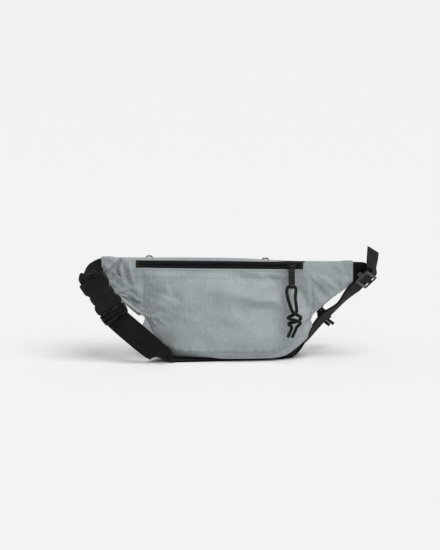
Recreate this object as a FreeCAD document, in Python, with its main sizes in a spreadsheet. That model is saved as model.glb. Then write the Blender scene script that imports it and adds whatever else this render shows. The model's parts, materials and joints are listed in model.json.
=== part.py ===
import FreeCAD, Part
import math
import os

import Sketcher
from FreeCAD import Placement, Rotation, Vector

# A waist pack of ripstop nylon, standing on its own belt. All sizes are in millimetres.
# +X runs along the pack to its right wing, +Y points from its front panel to its back panel, +Z is up.

document = FreeCAD.newDocument("waist_pack")
dims = document.addObject("Spreadsheet::Sheet", "dims")

DRIVING_DIMENSIONS = {
    # the sewn bag
    "wing_reach": 161, "bag_height": 129, "top_drop": 2.7, "seam_height": 11, "gusset_reach": 106,
    "base_depth": 60, "top_depth": 7.2, "wing_depth": 4.6, "rim_depth": 2.6, "lean_back": 10,
    "tip_low": 98, "gusset_top": 54, "gusset_bulge": 6.7, "fabric_thick": 1, "seam_gap": 0.2,
    "lining_thick": 0.6, "binding_wide": 6, "binding_thick": 0.8,
    # the zips: a window in the panel, two tapes, two rows of coil and their stops
    "zip_long": 214, "zip_window": 9.6, "zip_high": 121.6, "zip_tilt": 0.53, "front_zip_middle": -9.8,
    "back_zip_middle": 28, "back_zip_high": 118, "upper_tape_wide": 3.4, "lower_tape_wide": 6.4,
    "tape_thick": 0.5, "tape_inside": 1.5, "coil_wide": 2.2, "coil_thick": 1.8, "coil_inside": 0.2,
    "coil_gap": 1.2, "stop_long": 3,
    # the slider and what hangs from it
    "slider_long": 12, "slider_wide": 8.6, "slider_plate": 1.1, "slider_room": 3.4, "slider_post": 0.7,
    "slider_inside": 0.6,
    "bridge_rise": 3.2, "bridge_bar": 1.4, "bridge_foot": 1.6, "front_slider_from_end": 15,
    "tab_long": 26, "tab_wide": 8, "tab_thick": 1.6, "tab_eye_wide": 4.6, "tab_eye_radius": 1.7,
    "tab_hole_radius": 1, "barrel_wide": 5, "barrel_radius": 3.3, "barrel_hole": 2.4, "cord_wide": 4.2,
    "knot_high": 21, "knot_wide": 18, "knot_deep": 11,
    # webbing
    "webbing_wide": 30, "webbing_thick": 1.3, "belt_thick": 2.8,
    # the side-release buckle
    "buckle_wide": 36, "housing_from": -31, "housing_to": 13.4, "housing_thick": 11,
    "cavity_wide": 29, "cavity_from": -16.6, "waist_deep": 3.6, "male_from": 14.2, "male_to": 28.5,
    "male_thick": 8, "bar_thick": 2.8, "slot_wide": 31, "arm_thick": 5, "arm_wide": 3.2,
    "arm_middle": 9.8, "arm_root": 12.4, "arm_tip": -14.4, "button_out": 16.2, "tongue_wide": 4.4,
    # the tri-glide
    "glide_long": 21, "glide_wide": 38, "glide_bar": 3.6, "glide_rail": 3.2, "glide_thick": 1.8,
    # lash loops in the top seam
    "loop_wide": 9, "loop_high": 2.2, "loop_thick": 0.8,
}
for row, (alias, value) in enumerate(DRIVING_DIMENSIONS.items(), start=1):
    dims.set("A%d" % row, alias)
    dims.set("B%d" % row, str(value))
    dims.setAlias("B%d" % row, alias)
document.recompute()


def size(alias):
    """A driving dimension's value, as the spreadsheet holds it."""
    return float(dims.get(alias))


# ---------------------------------------------------------------- building helpers


def feature(label, shape, placement=Placement()):
    """A sub-part whose solid is worked out here from the sheet's values."""
    item = document.addObject("Part::Feature", label)
    item.Label = label
    item.Shape = shape
    item.Placement = placement
    return item


def new_body(label, placement=Placement()):
    body = document.addObject("PartDesign::Body", label)
    body.Label = label
    body.Placement = placement
    return body


def new_sketch(body, role, offset="0"):
    """A sketch on one of the body's own origin planes, moved along its normal by a bound offset."""
    sketch = body.newObject("Sketcher::SketchObject", "sketch")
    plane = [item for item in body.Origin.OriginFeatures if item.Role == role][0]
    sketch.AttachmentSupport = (plane, [""])
    sketch.MapMode = "FlatFace"
    sketch.setExpression("AttachmentOffset.Base.z", offset)
    return sketch


def rectangle(sketch, low_x, high_x, low_y, high_y):
    """A closed rectangle whose four sides are bound to expressions."""
    first = sketch.GeometryCount
    corners = [Vector(-1, -1, 0), Vector(1, -1, 0), Vector(1, 1, 0), Vector(-1, 1, 0)]
    for i in range(4):
        sketch.addGeometry(Part.LineSegment(corners[i], corners[(i + 1) % 4]), False)
    for i in range(4):
        sketch.addConstraint(Sketcher.Constraint("Coincident", first + i, 2, first + (i + 1) % 4, 1))
        sketch.addConstraint(Sketcher.Constraint("Horizontal" if i % 2 == 0 else "Vertical", first + i))
    sides = [("DistanceX", first, low_x), ("DistanceX", first + 2, high_x),
             ("DistanceY", first, low_y), ("DistanceY", first + 2, high_y)]
    for number, (kind, line, expression) in enumerate(sides):
        name = "side_%d_%d" % (first, number)
        start = 1.0 if number % 2 else -1.0
        index = sketch.addConstraint(Sketcher.Constraint(kind, -1, 1, line, 1, start))
        sketch.renameConstraint(index, name)
        sketch.setExpression("Constraints." + name, expression)


def circle(sketch, centre_x, centre_y, radius):
    """A circle whose centre and radius are bound to expressions."""
    index = sketch.addGeometry(Part.Circle(Vector(0.5, 0.5, 0), Vector(0, 0, 1), 1), False)
    bound = [(Sketcher.Constraint("Radius", index, 1.0), radius),
             (Sketcher.Constraint("DistanceX", -1, 1, index, 3, 0.5), centre_x),
             (Sketcher.Constraint("DistanceY", -1, 1, index, 3, 0.5), centre_y)]
    for number, (constraint, expression) in enumerate(bound):
        name = "circle_%d_%d" % (index, number)
        place = sketch.addConstraint(constraint)
        sketch.renameConstraint(place, name)
        sketch.setExpression("Constraints." + name, expression)


def pad(body, sketch, length, both_ways=False):
    block = body.newObject("PartDesign::Pad", "pad")
    block.Profile = sketch
    block.Midplane = both_ways
    block.setExpression("Length", length)
    document.recompute()
    return block


def pocket(body, sketch, length, both_ways=True):
    """A cut through what is there; a cut that takes nothing away stops the script."""
    before = body.Tip.Shape.Volume
    cut = body.newObject("PartDesign::Pocket", "pocket")
    cut.Profile = sketch
    cut.Midplane = both_ways
    cut.setExpression("Length", length)
    document.recompute()
    if not cut.Shape.Volume < before - 0.01:
        raise RuntimeError("a pocket in %s cuts nothing" % body.Label)
    return cut


def round_edges(body, radius, wanted):
    """Fillets the edges of the body's last feature that the test picks."""
    base = body.Tip
    edges = ["Edge%d" % (i + 1) for i, edge in enumerate(base.Shape.Edges) if wanted(edge)]
    fillet = body.newObject("PartDesign::Fillet", "fillet")
    fillet.Base = (base, edges)
    fillet.Radius = radius
    document.recompute()
    return fillet


def along(axis):
    """A test for straight edges that run along one axis."""
    def runs_along(edge):
        straight = edge.Curve.TypeId == "Part::GeomLine"
        return straight and abs(edge.Curve.Direction.dot(axis)) > 0.999
    return runs_along


X_AXIS, Y_AXIS, Z_AXIS = Vector(1, 0, 0), Vector(0, 1, 0), Vector(0, 0, 1)


def box(low, high):
    return Part.makeBox(high[0] - low[0], high[1] - low[1], high[2] - low[2], Vector(*low))


def surface_through(rows):
    surface = Part.BSplineSurface()
    surface.interpolate(rows)
    return surface


def slab_between(outer_rows, inner_rows):
    """The closed solid between two curved skins that share their grid of points."""
    outer, inner = surface_through(outer_rows), surface_through(inner_rows)
    faces = [outer.toShape(), inner.toShape()]
    for pick in ("uIso", "vIso"):
        low, high = outer.bounds()[:2] if pick == "uIso" else outer.bounds()[2:]
        for place in (low, high):
            edges = [getattr(skin, pick)(place).toShape() for skin in (outer, inner)]
            faces.append(Part.makeRuledSurface(*edges))
    skin = Part.Compound(faces)
    skin.sewShape()
    solid = Part.Solid(skin.Shells[0] if skin.Shells else skin)
    return solid if solid.Volume > 0 else solid.reversed()


# ---------------------------------------------------------------- the shape of the sewn bag


def blend(value, low, high):
    """0 below low, 1 above high, and an even S between them."""
    part = min(max((value - low) / (high - low), 0), 1)
    return part * part * (3 - 2 * part)


def top_height(x):
    """The top seam drops a little from the left wing to the right one."""
    return size("bag_height") - size("top_drop") * math.tanh((x - 45) / 40)


def lower_height(x):
    """The lower seam: flat under the bag, up round its ends, then straight out to the wing tips."""
    reach = abs(x)
    corner = size("gusset_reach") - 1
    if reach > corner:
        rise = (size("tip_low") - size("gusset_top")) / (size("wing_reach") - corner)
        return size("gusset_top") + (reach - corner) * rise
    bend = max(reach - 55, 0) / (corner - 55)
    return size("seam_height") + (size("gusset_top") - size("seam_height")) * bend ** 2.4


def middle_depth(z):
    """The bag leans back a little: where the middle between its two panels lies."""
    return size("lean_back") * blend(z, 5, 112)


def base_half_depth(x):
    """Half the gusset's depth; beyond the gusset's ends the two panels are sewn together."""
    reach = abs(x) / size("gusset_reach")
    closed = size("rim_depth") / 2
    if reach < 1:
        return closed + (size("base_depth") / 2 - closed) * (1 - reach * reach) ** 0.55
    return closed + (size("wing_depth") / 2 - closed) * blend(abs(x), 140, 150)


def half_depth(x, z):
    """From the middle out to a panel's outer face."""
    rim, band = 3, 16
    drop = top_height(x) - z
    flat = size("top_depth") / 2
    flat += (size("wing_depth") / 2 - flat) * blend(abs(x), 136, 150)
    if drop < rim:
        closed = size("rim_depth") / 2 + (flat - size("rim_depth") / 2) * blend(abs(x), 146, 152)
        return closed + (flat - closed) * max(drop, 0) / rim
    if drop < band:
        return flat
    share = (drop - band) / max(top_height(x) - lower_height(x) - band, 1)
    belly = math.sin(1.822 * share) / math.sin(1.822)
    return flat + (base_half_depth(x) - flat) * belly


def panel_drops(x):
    """How far each row of a panel's grid lies below the top seam."""
    height = top_height(x) - lower_height(x)
    rows = [0, 3, 9, 15]
    return rows + [15 + (height - 15) * i / 8 for i in range(1, 9)]


def panel_rows(side, inset, share=1.0):
    """A panel's grid of points: side is -1 in front and +1 behind, inset how far inside it lies."""
    reach = size("wing_reach")
    rows = []
    for i in range(47):
        x = -reach + 2 * reach * i / 46
        column = []
        for drop in panel_drops(x):
            z = top_height(x) - drop
            depth = half_depth(x, z) * share - inset
            column.append(Vector(x, middle_depth(z) + side * depth, z))
        rows.append(column)
    return rows


def zip_placement(side, middle, high):
    """A zip's own frame: x along it, y from outside into the bag, z across it, origin in its middle."""
    y = middle_depth(high) + side * size("top_depth") / 2
    turn = Rotation(Y_AXIS, size("zip_tilt"))
    if side > 0:
        turn = turn.multiply(Rotation(Z_AXIS, 180))
    drop = (middle - size("front_zip_middle")) * math.tan(math.radians(size("zip_tilt")))
    return Placement(Vector(middle, y, high - drop), turn)


def panel(label, side, zip_place):
    """One fabric panel with both wings, and the zip's window cut out of it."""
    slab = slab_between(panel_rows(side, 0), panel_rows(side, size("fabric_thick")))
    long, wide = size("zip_long") / 2, size("zip_window") / 2
    window = box((-long, -6, -wide), (long, 8, wide))
    window.Placement = zip_place
    return feature(label, slab.cut(window))


def divider():
    """The lining that parts the main room from the back pocket."""
    side, share = 1, 0.3
    near = panel_rows(side, 0, share)
    far = panel_rows(side, -size("lining_thick"), share)
    slab = slab_between(near, far)
    keep = box((-96, -60, 16), (96, 60, 106))
    return feature("divider_lining", slab.common(keep))


def seam_point(x):
    return Vector(x, middle_depth(lower_height(x)), lower_height(x))


def seam_outward(x):
    """The direction out of the bag, square to its lower seam, seen from the front."""
    run = seam_point(x + 0.5) - seam_point(x - 0.5)
    return Vector(run.z, 0, -run.x).normalize()


def gusset_stations():
    """Places along the lower seam, closer together where it climbs."""
    corner = size("gusset_reach") - 1
    return [corner * math.sin(math.pi / 2 * i / 20) for i in range(-20, 21)]


def gusset():
    """The boat-shaped strip under the bag, sewn to both panels."""
    outer, inner = [], []
    for x in gusset_stations():
        base, out = seam_point(x), seam_outward(x)
        depth = base_half_depth(x)
        swell = size("gusset_bulge") * (1 - (abs(x) / size("gusset_reach")) ** 8)
        rows = []
        for step in range(-6, 7):
            across = math.sin(math.pi / 2 * step / 6)
            lift = size("seam_gap") + swell * (1 - across ** 4)
            rows.append(base + out * lift + Y_AXIS * (depth * across))
        inner.append(rows)
        outer.append([point + out * size("fabric_thick") for point in rows])
    return feature("bottom_gusset", slab_between(outer, inner))


def seam_binding(label, side):
    """The tape that covers the raw edges inside a lower seam."""
    outer, inner = [], []
    for i in range(-12, 13):
        x = 72 * i / 12
        base, out = seam_point(x), seam_outward(x)
        face = base + Y_AXIS * (side * (base_half_depth(x) - size("fabric_thick") - 2.2))
        near = [face - out * (1 + size("binding_wide") * j / 3) for j in range(4)]
        inner.append(near)
        outer.append([point - Y_AXIS * (side * size("binding_thick")) for point in near])
    return feature(label, slab_between(outer, inner))


# ---------------------------------------------------------------- webbing


def smooth_stations(stations, steps=6):
    """Curves through hand-placed stations (centre, across): each pair becomes several."""
    result = []
    last = len(stations) - 1
    for i in range(last):
        picked = [stations[max(i - 1, 0)], stations[i], stations[i + 1], stations[min(i + 2, last)]]
        for step in range(steps + (i == last - 1)):
            t = step / steps
            weights = [(-t + 2 * t ** 2 - t ** 3) / 2, (2 - 5 * t ** 2 + 3 * t ** 3) / 2,
                       (t + 4 * t ** 2 - 3 * t ** 3) / 2, (t ** 3 - t ** 2) / 2]
            pair = [Vector(), Vector()]
            for weight, station in zip(weights, picked):
                pair = [total + Vector(part) * weight for total, part in zip(pair, station)]
            result.append(pair)
    return result


def ribbon_sections(stations, thick, wide):
    """The webbing's rectangular section at each station, square to its run: four corners each."""
    sections = []
    for i, (centre, across) in enumerate(stations):
        ahead = stations[min(i + 1, len(stations) - 1)][0]
        behind = stations[max(i - 1, 0)][0]
        run = (ahead - behind).normalize()
        side = (across - run * across.dot(run)).normalize() * (wide / 2)
        up = run.cross(side).normalize() * (thick / 2)
        sections.append([centre - side - up, centre + side - up, centre + side + up, centre - side + up])
    return sections


def loft_sections(sections):
    return Part.makeLoft([Part.makePolygon(corners + corners[:1]) for corners in sections], True, True)


def flat_sections(sections):
    """The same webbing where it lies flat, with one plane face below and one above."""
    outline = [corners[0] for corners in sections] + [corners[1] for corners in reversed(sections)]
    face = Part.Face(Part.makePolygon(outline + outline[:1]))
    return face.extrude(sections[0][3] - sections[0][0])


def ribbon(stations, thick, wide):
    """A flat webbing solid along stations, each with its centre and its across direction."""
    return loft_sections(ribbon_sections(stations, thick, wide))


def above_floor(corners):
    """The section raised by as much as its lowest corner is under the floor."""
    dip = min(0, min(corner.z for corner in corners))
    return [corner - Z_AXIS * dip for corner in corners]


def webbing_loop(bar_from, bar_to, room, placement):
    """The turn of webbing round a buckle's bar, in the buckle's own frame."""
    half, thick = size("webbing_wide") / 2, size("webbing_thick")
    top = size("bar_thick") / 2 + room
    inside = box((-half, bar_from - room, -top), (half, bar_to + room, top))
    outside = box((-half, bar_from - room - thick, -top - thick),
                  (half, bar_to + room + thick, top + thick))
    loop = outside.cut(inside)
    loop.Placement = placement
    return loop


# ---------------------------------------------------------------- the buckle's frame

BUCKLE_ALONG = Vector(0.551, -0.196, -0.812).normalize()
BUCKLE_ACROSS = Vector(-0.828, 0, -0.562).normalize()
BUCKLE_OUT = BUCKLE_ACROSS.cross(BUCKLE_ALONG)
BUCKLE_CENTRE = Vector(-155, -13, 79.5)
BUCKLE_PLACE = Placement(BUCKLE_CENTRE, Rotation(BUCKLE_ACROSS, BUCKLE_ALONG, BUCKLE_OUT, "YZX"))


def in_buckle(x, y, z):
    """A point of the buckle's frame (across, along towards the belt, out of the face) in the pack's."""
    return BUCKLE_PLACE.multVec(Vector(x, y, z))


HOUSING_BAR = (-30.4, -27.0)
MALE_BAR = (18.2, 21.6)
BAR_ROOM = 0.4

# ---------------------------------------------------------------- the tri-glide's frame

GLIDE_ALONG = Vector(-0.713, 0.03, -0.70).normalize()
GLIDE_ACROSS = Vector(0.406, 0.832, -0.376)
GLIDE_ACROSS = (GLIDE_ACROSS - GLIDE_ALONG * GLIDE_ACROSS.dot(GLIDE_ALONG)).normalize()
GLIDE_CENTRE = Vector(177, 15, 102.7)
GLIDE_PLACE = Placement(GLIDE_CENTRE, Rotation(GLIDE_ACROSS, GLIDE_ALONG, Vector(), "YXZ"))


def anchor_webbing():
    """The short webbing from the left wing's end seam to the buckle's housing."""
    end = in_buckle(0, HOUSING_BAR[0] - BAR_ROOM - size("webbing_thick"), 0)
    before = in_buckle(0, HOUSING_BAR[0] - 5, 0)
    tip = -size("wing_reach")
    stations = [
        (Vector(tip + 10, 9.6, 113), Vector(0, 0, -1)),
        (Vector(tip + 1, 9.6, 113), Vector(0, 0, -1)),
        (Vector(tip - 8, 8, 112.5), Vector(-0.25, 0, -0.97)),
        (Vector(tip - 14, 1, 109.5), Vector(-0.6, 0, -0.8)),
        (before, BUCKLE_ACROSS),
        (end, BUCKLE_ACROSS),
    ]
    strip = ribbon(smooth_stations(stations), size("webbing_thick"), size("webbing_wide"))
    loop = webbing_loop(*HOUSING_BAR, BAR_ROOM, BUCKLE_PLACE)
    return feature("left_anchor_webbing", Part.makeCompound([strip, loop]))


def belt_webbing():
    """The long webbing: wing seam, glide, buckle bar and back, with its free tail above the glide."""
    lift = size("belt_thick") / 2
    glide = [(GLIDE_CENTRE + GLIDE_ALONG * step, GLIDE_ACROSS) for step in (-12, 0, 12, 22)]
    behind = [(146.5, 22, 69.5), (127, 26, 52), (113, 24, 36), (100, 19, 18), (87, 17.5, 5.5)]
    floor = [(72, 15, lift), (60, 13, lift), (40, 8, lift), (-40, -1.7, lift), (-62, -5.4, lift)]
    under = [(Vector(*point), Y_AXIS) for point in behind + floor]
    under[0] = (under[0][0], Vector(0.15, 1, -0.12))
    exit_end = in_buckle(0, MALE_BAR[1] + BAR_ROOM + size("webbing_thick"), 0)
    exit_run = in_buckle(0, MALE_BAR[1] + 8, 0)
    rise = [(Vector(-74, -8.5, 2.2), Vector(-0.1, 0.99, -0.02)),
            (Vector(-84, -15, 6.2), Vector(-0.35, 0.9, -0.22)),
            (Vector(-92, -24, 13.5), Vector(-0.62, 0.3, -0.5)),
            (Vector(-103, -30, 24), Vector(-0.75, 0.05, -0.65)),
            (Vector(-118, -29, 37), Vector(-0.79, 0, -0.61)),
            (exit_run, BUCKLE_ACROSS), (exit_end, BUCKLE_ACROSS)]
    route = smooth_stations(glide + under + rise, 5)
    for centre, across in route:
        drop = size("webbing_wide") / 2 * abs(across.z) / across.Length
        centre.z = max(centre.z, lift + drop)
    level = [abs(centre.z - lift) < 1e-6 and across.z == 0 for centre, across in route]
    lying = [i for i in range(1, len(route) - 1) if all(level[i - 1:i + 2])]
    sections = [above_floor(section)
                for section in ribbon_sections(route, size("belt_thick"), size("webbing_wide"))]
    band = [loft_sections(sections[:lying[0] + 1]), flat_sections(sections[lying[0]:lying[-1] + 1]),
            loft_sections(sections[lying[-1]:])]
    loop = webbing_loop(*MALE_BAR, BAR_ROOM, BUCKLE_PLACE)
    tip = size("wing_reach")
    start, entry = glide[0]
    layer = GLIDE_ALONG.cross(GLIDE_ACROSS) * (size("belt_thick") - size("webbing_thick")) / 2
    layer = layer if layer.z > 0 else -layer
    wing_strap = [
        (Vector(tip - 10, 9.8, 113), Vector(0, 0, -1)),
        (Vector(tip + 1, 9.8, 113), Vector(0, 0, -1)),
        (Vector(tip + 9, 9.5, 114), Vector(0.05, 0.3, -0.95)),
        (Vector(tip + 15, 11, 115), Vector(0.2, 0.65, -0.7)),
        (start + layer, entry),
    ]
    strap = ribbon(smooth_stations(wing_strap), size("webbing_thick"), size("webbing_wide") - 0.4)
    tail_run = [(start - layer, entry), (start - layer - GLIDE_ALONG * 5, entry),
                (Vector(187, 14.5, 121), Vector(0.32, 0.9, -0.25)),
                (Vector(189.5, 13.5, 140), Vector(0.36, 0.92, -0.15))]
    tail = ribbon(smooth_stations(tail_run), size("webbing_thick"), size("webbing_wide") - 0.8)
    return feature("belt_webbing", Part.makeCompound(band + [loop, strap, tail]))


def lash_loop(label, x):
    """A short loop of tape whose ends are caught in the top seam."""
    wide, high, thick = size("loop_wide"), size("loop_high"), size("loop_thick")
    outside = box((-wide / 2, -1.4, 0), (wide / 2, 1.4, high))
    inside = box((-wide / 2 + thick, -1.4, -1), (wide / 2 - thick, 1.4, high - thick))
    sits = Placement(Vector(x, size("lean_back"), top_height(x) + 0.5), Rotation())
    return feature(label, outside.cut(inside), sits)


# ---------------------------------------------------------------- zips


def bound_box(label, placement, length, wide, high, x="0", y="0", z="0"):
    """A Part::Box centred on a point of its placement's frame, all bound to the sheet."""
    item = document.addObject("Part::Box", label)
    item.Label = label
    item.setExpression("Length", length)
    item.setExpression("Width", wide)
    item.setExpression("Height", high)
    document.recompute()
    middle = [item.evalExpression(text) for text in (x, y, z)]
    middle = [getattr(value, "Value", value) for value in middle]
    corner = Vector(*middle) - Vector(item.Length.Value, item.Width.Value, item.Height.Value) / 2
    item.Placement = placement.multiply(Placement(corner, Rotation()))
    return item


def zip_chain(name, place):
    """Two tapes, two rows of coil and the stops at both ends."""
    items = []
    coil_long = "dims.zip_long - 2 * dims.stop_long - 2"
    for row, sign in (("upper", "1"), ("lower", "-1")):
        items.append(bound_box(
            "%s_zip_tape_%s" % (name, row), place, "dims.zip_long + 4", "dims.tape_thick",
            "dims.%s_tape_wide" % row, y="dims.tape_inside",
            z=sign + " * (dims.%s_tape_wide + dims.coil_gap) / 2" % row))
        items.append(bound_box(
            "%s_zip_coil_%s" % (name, row), place, coil_long, "dims.coil_thick", "dims.coil_wide",
            y="dims.coil_inside", z=sign + " * (dims.coil_wide + dims.coil_gap) / 2"))
    for end, sign in (("left", "-1"), ("right", "1")):
        items.append(bound_box(
            "%s_zip_stop_%s" % (name, end), place, "dims.stop_long", "dims.coil_thick",
            "2 * dims.coil_wide + dims.coil_gap", y="dims.coil_inside",
            x=sign + " * (dims.zip_long / 2 - dims.stop_long / 2 - 0.3)"))
    return items


def zip_slider(label, place):
    """A front and a back plate on one post, lips that hold the coils, and the bridge for the pull."""
    body = new_body(label, place)
    front = "-dims.slider_room / 2 - dims.slider_plate"
    half_long, half_wide = "dims.slider_long / 2", "dims.slider_wide / 2"
    shape = new_sketch(body, "XZ_Plane")
    rectangle(shape, "-dims.slider_long / 2", half_long, "-dims.slider_post / 2", "dims.slider_post / 2")
    pad(body, shape, "dims.slider_room + 0.2", True)
    for sign in (1, -1):
        plate = new_sketch(body, "XZ_Plane", "%d * (dims.slider_room + dims.slider_plate) / 2" % sign)
        rectangle(plate, "-dims.slider_long / 2", half_long, "-dims.slider_wide / 2", half_wide)
        pad(body, plate, "dims.slider_plate", True)
    round_edges(body, 2.2, lambda edge: along(Y_AXIS)(edge) and edge.Length < 1.3)
    bridge = new_sketch(body, "XY_Plane")
    room = "(dims.tab_eye_wide / 2 + 0.4)"
    rectangle(bridge, "-%s - dims.bridge_foot" % room, "%s + dims.bridge_foot" % room,
              front + " - dims.bridge_rise", front + " + 0.3")
    rectangle(bridge, "-" + room, room, front + " - dims.bridge_rise + dims.bridge_bar", front)
    pad(body, bridge, "dims.bridge_bar", True)
    return body


def bridge_centre():
    """How far in front of the slider's middle the bridge's bar lies, where the pull turns."""
    return size("slider_room") / 2 + size("slider_plate") + size("bridge_rise") - size("bridge_bar") / 2


def pull_tab(label, place):
    """The pull: an eye round the slider's bridge, a flat tab, and a crosswise barrel for the cord."""
    body = new_body(label, place)
    eye = new_sketch(body, "YZ_Plane")
    circle(eye, "0", "0", "dims.tab_eye_radius")
    circle(eye, "0", "0", "dims.tab_hole_radius")
    pad(body, eye, "dims.tab_eye_wide", True)
    blade = new_sketch(body, "XZ_Plane")
    rectangle(blade, "-dims.tab_wide / 2", "dims.tab_wide / 2",
              "-dims.tab_long + dims.barrel_radius - 0.5", "-dims.tab_eye_radius - 2")
    rectangle(blade, "-dims.tab_wide / 5", "dims.tab_wide / 5",
              "-dims.tab_long + dims.barrel_radius + 3", "-dims.tab_eye_radius - 6.5")
    pad(body, blade, "dims.tab_thick", True)
    neck = new_sketch(body, "XZ_Plane")
    rectangle(neck, "-dims.tab_eye_wide / 2", "dims.tab_eye_wide / 2",
              "-dims.tab_eye_radius - 2.5", "-dims.tab_eye_radius + 0.35")
    pad(body, neck, "dims.tab_thick", True)
    barrel = new_sketch(body, "YZ_Plane")
    circle(barrel, "0", "-dims.tab_long", "dims.barrel_radius")
    pad(body, barrel, "dims.barrel_wide", True)
    hole = new_sketch(body, "YZ_Plane")
    circle(hole, "0", "-dims.tab_long", "dims.barrel_hole")
    pocket(body, hole, "dims.tab_wide + 2")
    return body


def rounded_tube(route, wide, report):
    """A tube of straight runs joined by tangent arcs, each as large as its two runs allow."""
    points = [Vector(point) for point in route]
    edges, start, radii = [], points[0], []
    for before, corner, after in zip(points, points[1:], points[2:]):
        run_in, run_out = corner - before, after - corner
        turn = run_in.getAngle(run_out)
        reach = 0.45 * min(run_in.Length, run_out.Length)
        radii.append(reach / math.tan(turn / 2))
        arc_from = corner - run_in.normalize() * reach
        arc_to = corner + run_out.normalize() * reach
        inward = ((arc_from + arc_to) / 2 - corner).normalize()
        middle = corner + inward * (reach / math.sin(turn / 2) - radii[-1])
        edges += [Part.LineSegment(start, arc_from), Part.Arc(arc_from, middle, arc_to)]
        start = arc_to
    edges.append(Part.LineSegment(start, points[-1]))
    path = Part.Wire([edge.toShape() for edge in edges])
    section = Part.Wire(Part.makeCircle(wide / 2, points[0], points[1] - points[0]))
    tube = path.makePipeShell([section], True, True)
    length = path.Length
    expected = math.pi * wide * wide / 4 * length
    print(report, "length %.1f" % length, "radii", ["%.1f" % radius for radius in radii],
          "volume share %.4f" % (tube.Volume / expected))
    return tube


KNOT_HIGH = 16
CORDS = {"front": {"knot": -43, "hang": (19, 20), "tail": (-5.8, -13.5)},
         "back": {"knot": -49, "hang": (25, 33), "tail": (-9.6, -11)}}


def cord_routes(name):
    """Each half of the pull's cord, from the middle of the tab's barrel, in the cord's own frame."""
    knot = CORDS[name]["knot"]
    out, down = CORDS[name]["tail"]
    enter, leave = knot + KNOT_HIGH / 2 + 0.7, knot - KNOT_HIGH / 2 - 1.2
    left_leg = [(0, 0, 0), (-4.6, 0, 0), (-6.6, 0, -4.6), (-6, 0, -11), (-4.6, 0, -17.5),
                (-2.2, 0, enter + 9.5), (0.8, 0, enter)]
    right_leg = [(0, 0, 0), (4.4, 0, 0), (5.6, 0, -4.8), (4.4, 0, -12), (4.8, 0, -20),
                 (6, 0, enter + 7), (6, 0, enter)]
    left_tail = [(0.2, 0, leave), (0.2 + out * 0.35, -0.6, leave + down * 0.42),
                 (0.2 + out, -1.2, leave + down)]
    right_tail = [(5.6, 0, leave), (5.6 + out * 0.3, 0.6, leave + down * 0.45),
                  (5.6 + out, 1.2, leave + down)]
    return {"left": (left_leg, left_tail), "right": (right_leg, right_tail)}


def pull_cord(name, place):
    """The cord's two halves as they hang from the tab, and the knot that joins them."""
    wide = size("cord_wide")
    items = []
    for half, runs in cord_routes(name).items():
        label = "%s_cord_%s" % (name, half)
        tubes = [rounded_tube(run, wide, label) for run in runs]
        items.append(feature(label, Part.makeCompound(tubes), place))
    knot = document.addObject("Part::Ellipsoid", "%s_cord_knot" % name)
    knot.Label = "%s_cord_knot" % name
    for radius, alias in (("Radius1", "knot_high"), ("Radius2", "knot_wide"), ("Radius3", "knot_deep")):
        knot.setExpression(radius, "dims.%s / 2" % alias)
    flat = math.degrees(math.asin(KNOT_HIGH / size("knot_high")))
    knot.Angle1, knot.Angle2 = -flat, flat
    middle = Placement(Vector(3.2, 0, CORDS[name]["knot"]), Rotation())
    knot.Placement = place.multiply(middle)
    items.append(knot)
    return items


def zip_set(name, side, middle, high, slider_at):
    """One zip with its slider and pull: its items, and where its joints turn."""
    hang, cord_hang = CORDS[name]["hang"]
    place = zip_placement(side, middle, high)
    items = zip_chain(name, place)
    along_zip = place.Rotation.multVec(X_AXIS)
    slider_place = place.multiply(Placement(Vector(slider_at, size("slider_inside"), 0), Rotation()))
    items.append(zip_slider("%s_zip_slider" % name, slider_place))
    turn = Rotation(Z_AXIS, 180 if side > 0 else 0)
    pivot = slider_place.multVec(Vector(0, -bridge_centre(), 0))
    tab_place = Placement(pivot, turn.multiply(Rotation(X_AXIS, -hang)))
    items.append(pull_tab("%s_pull_tab" % name, tab_place))
    barrel = tab_place.multVec(Vector(0, 0, -size("tab_long")))
    cord_place = Placement(barrel, turn.multiply(Rotation(X_AXIS, -cord_hang)))
    items += pull_cord(name, cord_place)
    swings_about = turn.multVec(-X_AXIS)
    joints = {name + "_slider": (slider_place.Base, along_zip), name + "_pull": (pivot, swings_about),
              name + "_cord": (barrel, swings_about)}
    return items, joints


# ---------------------------------------------------------------- buckle and glide


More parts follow.
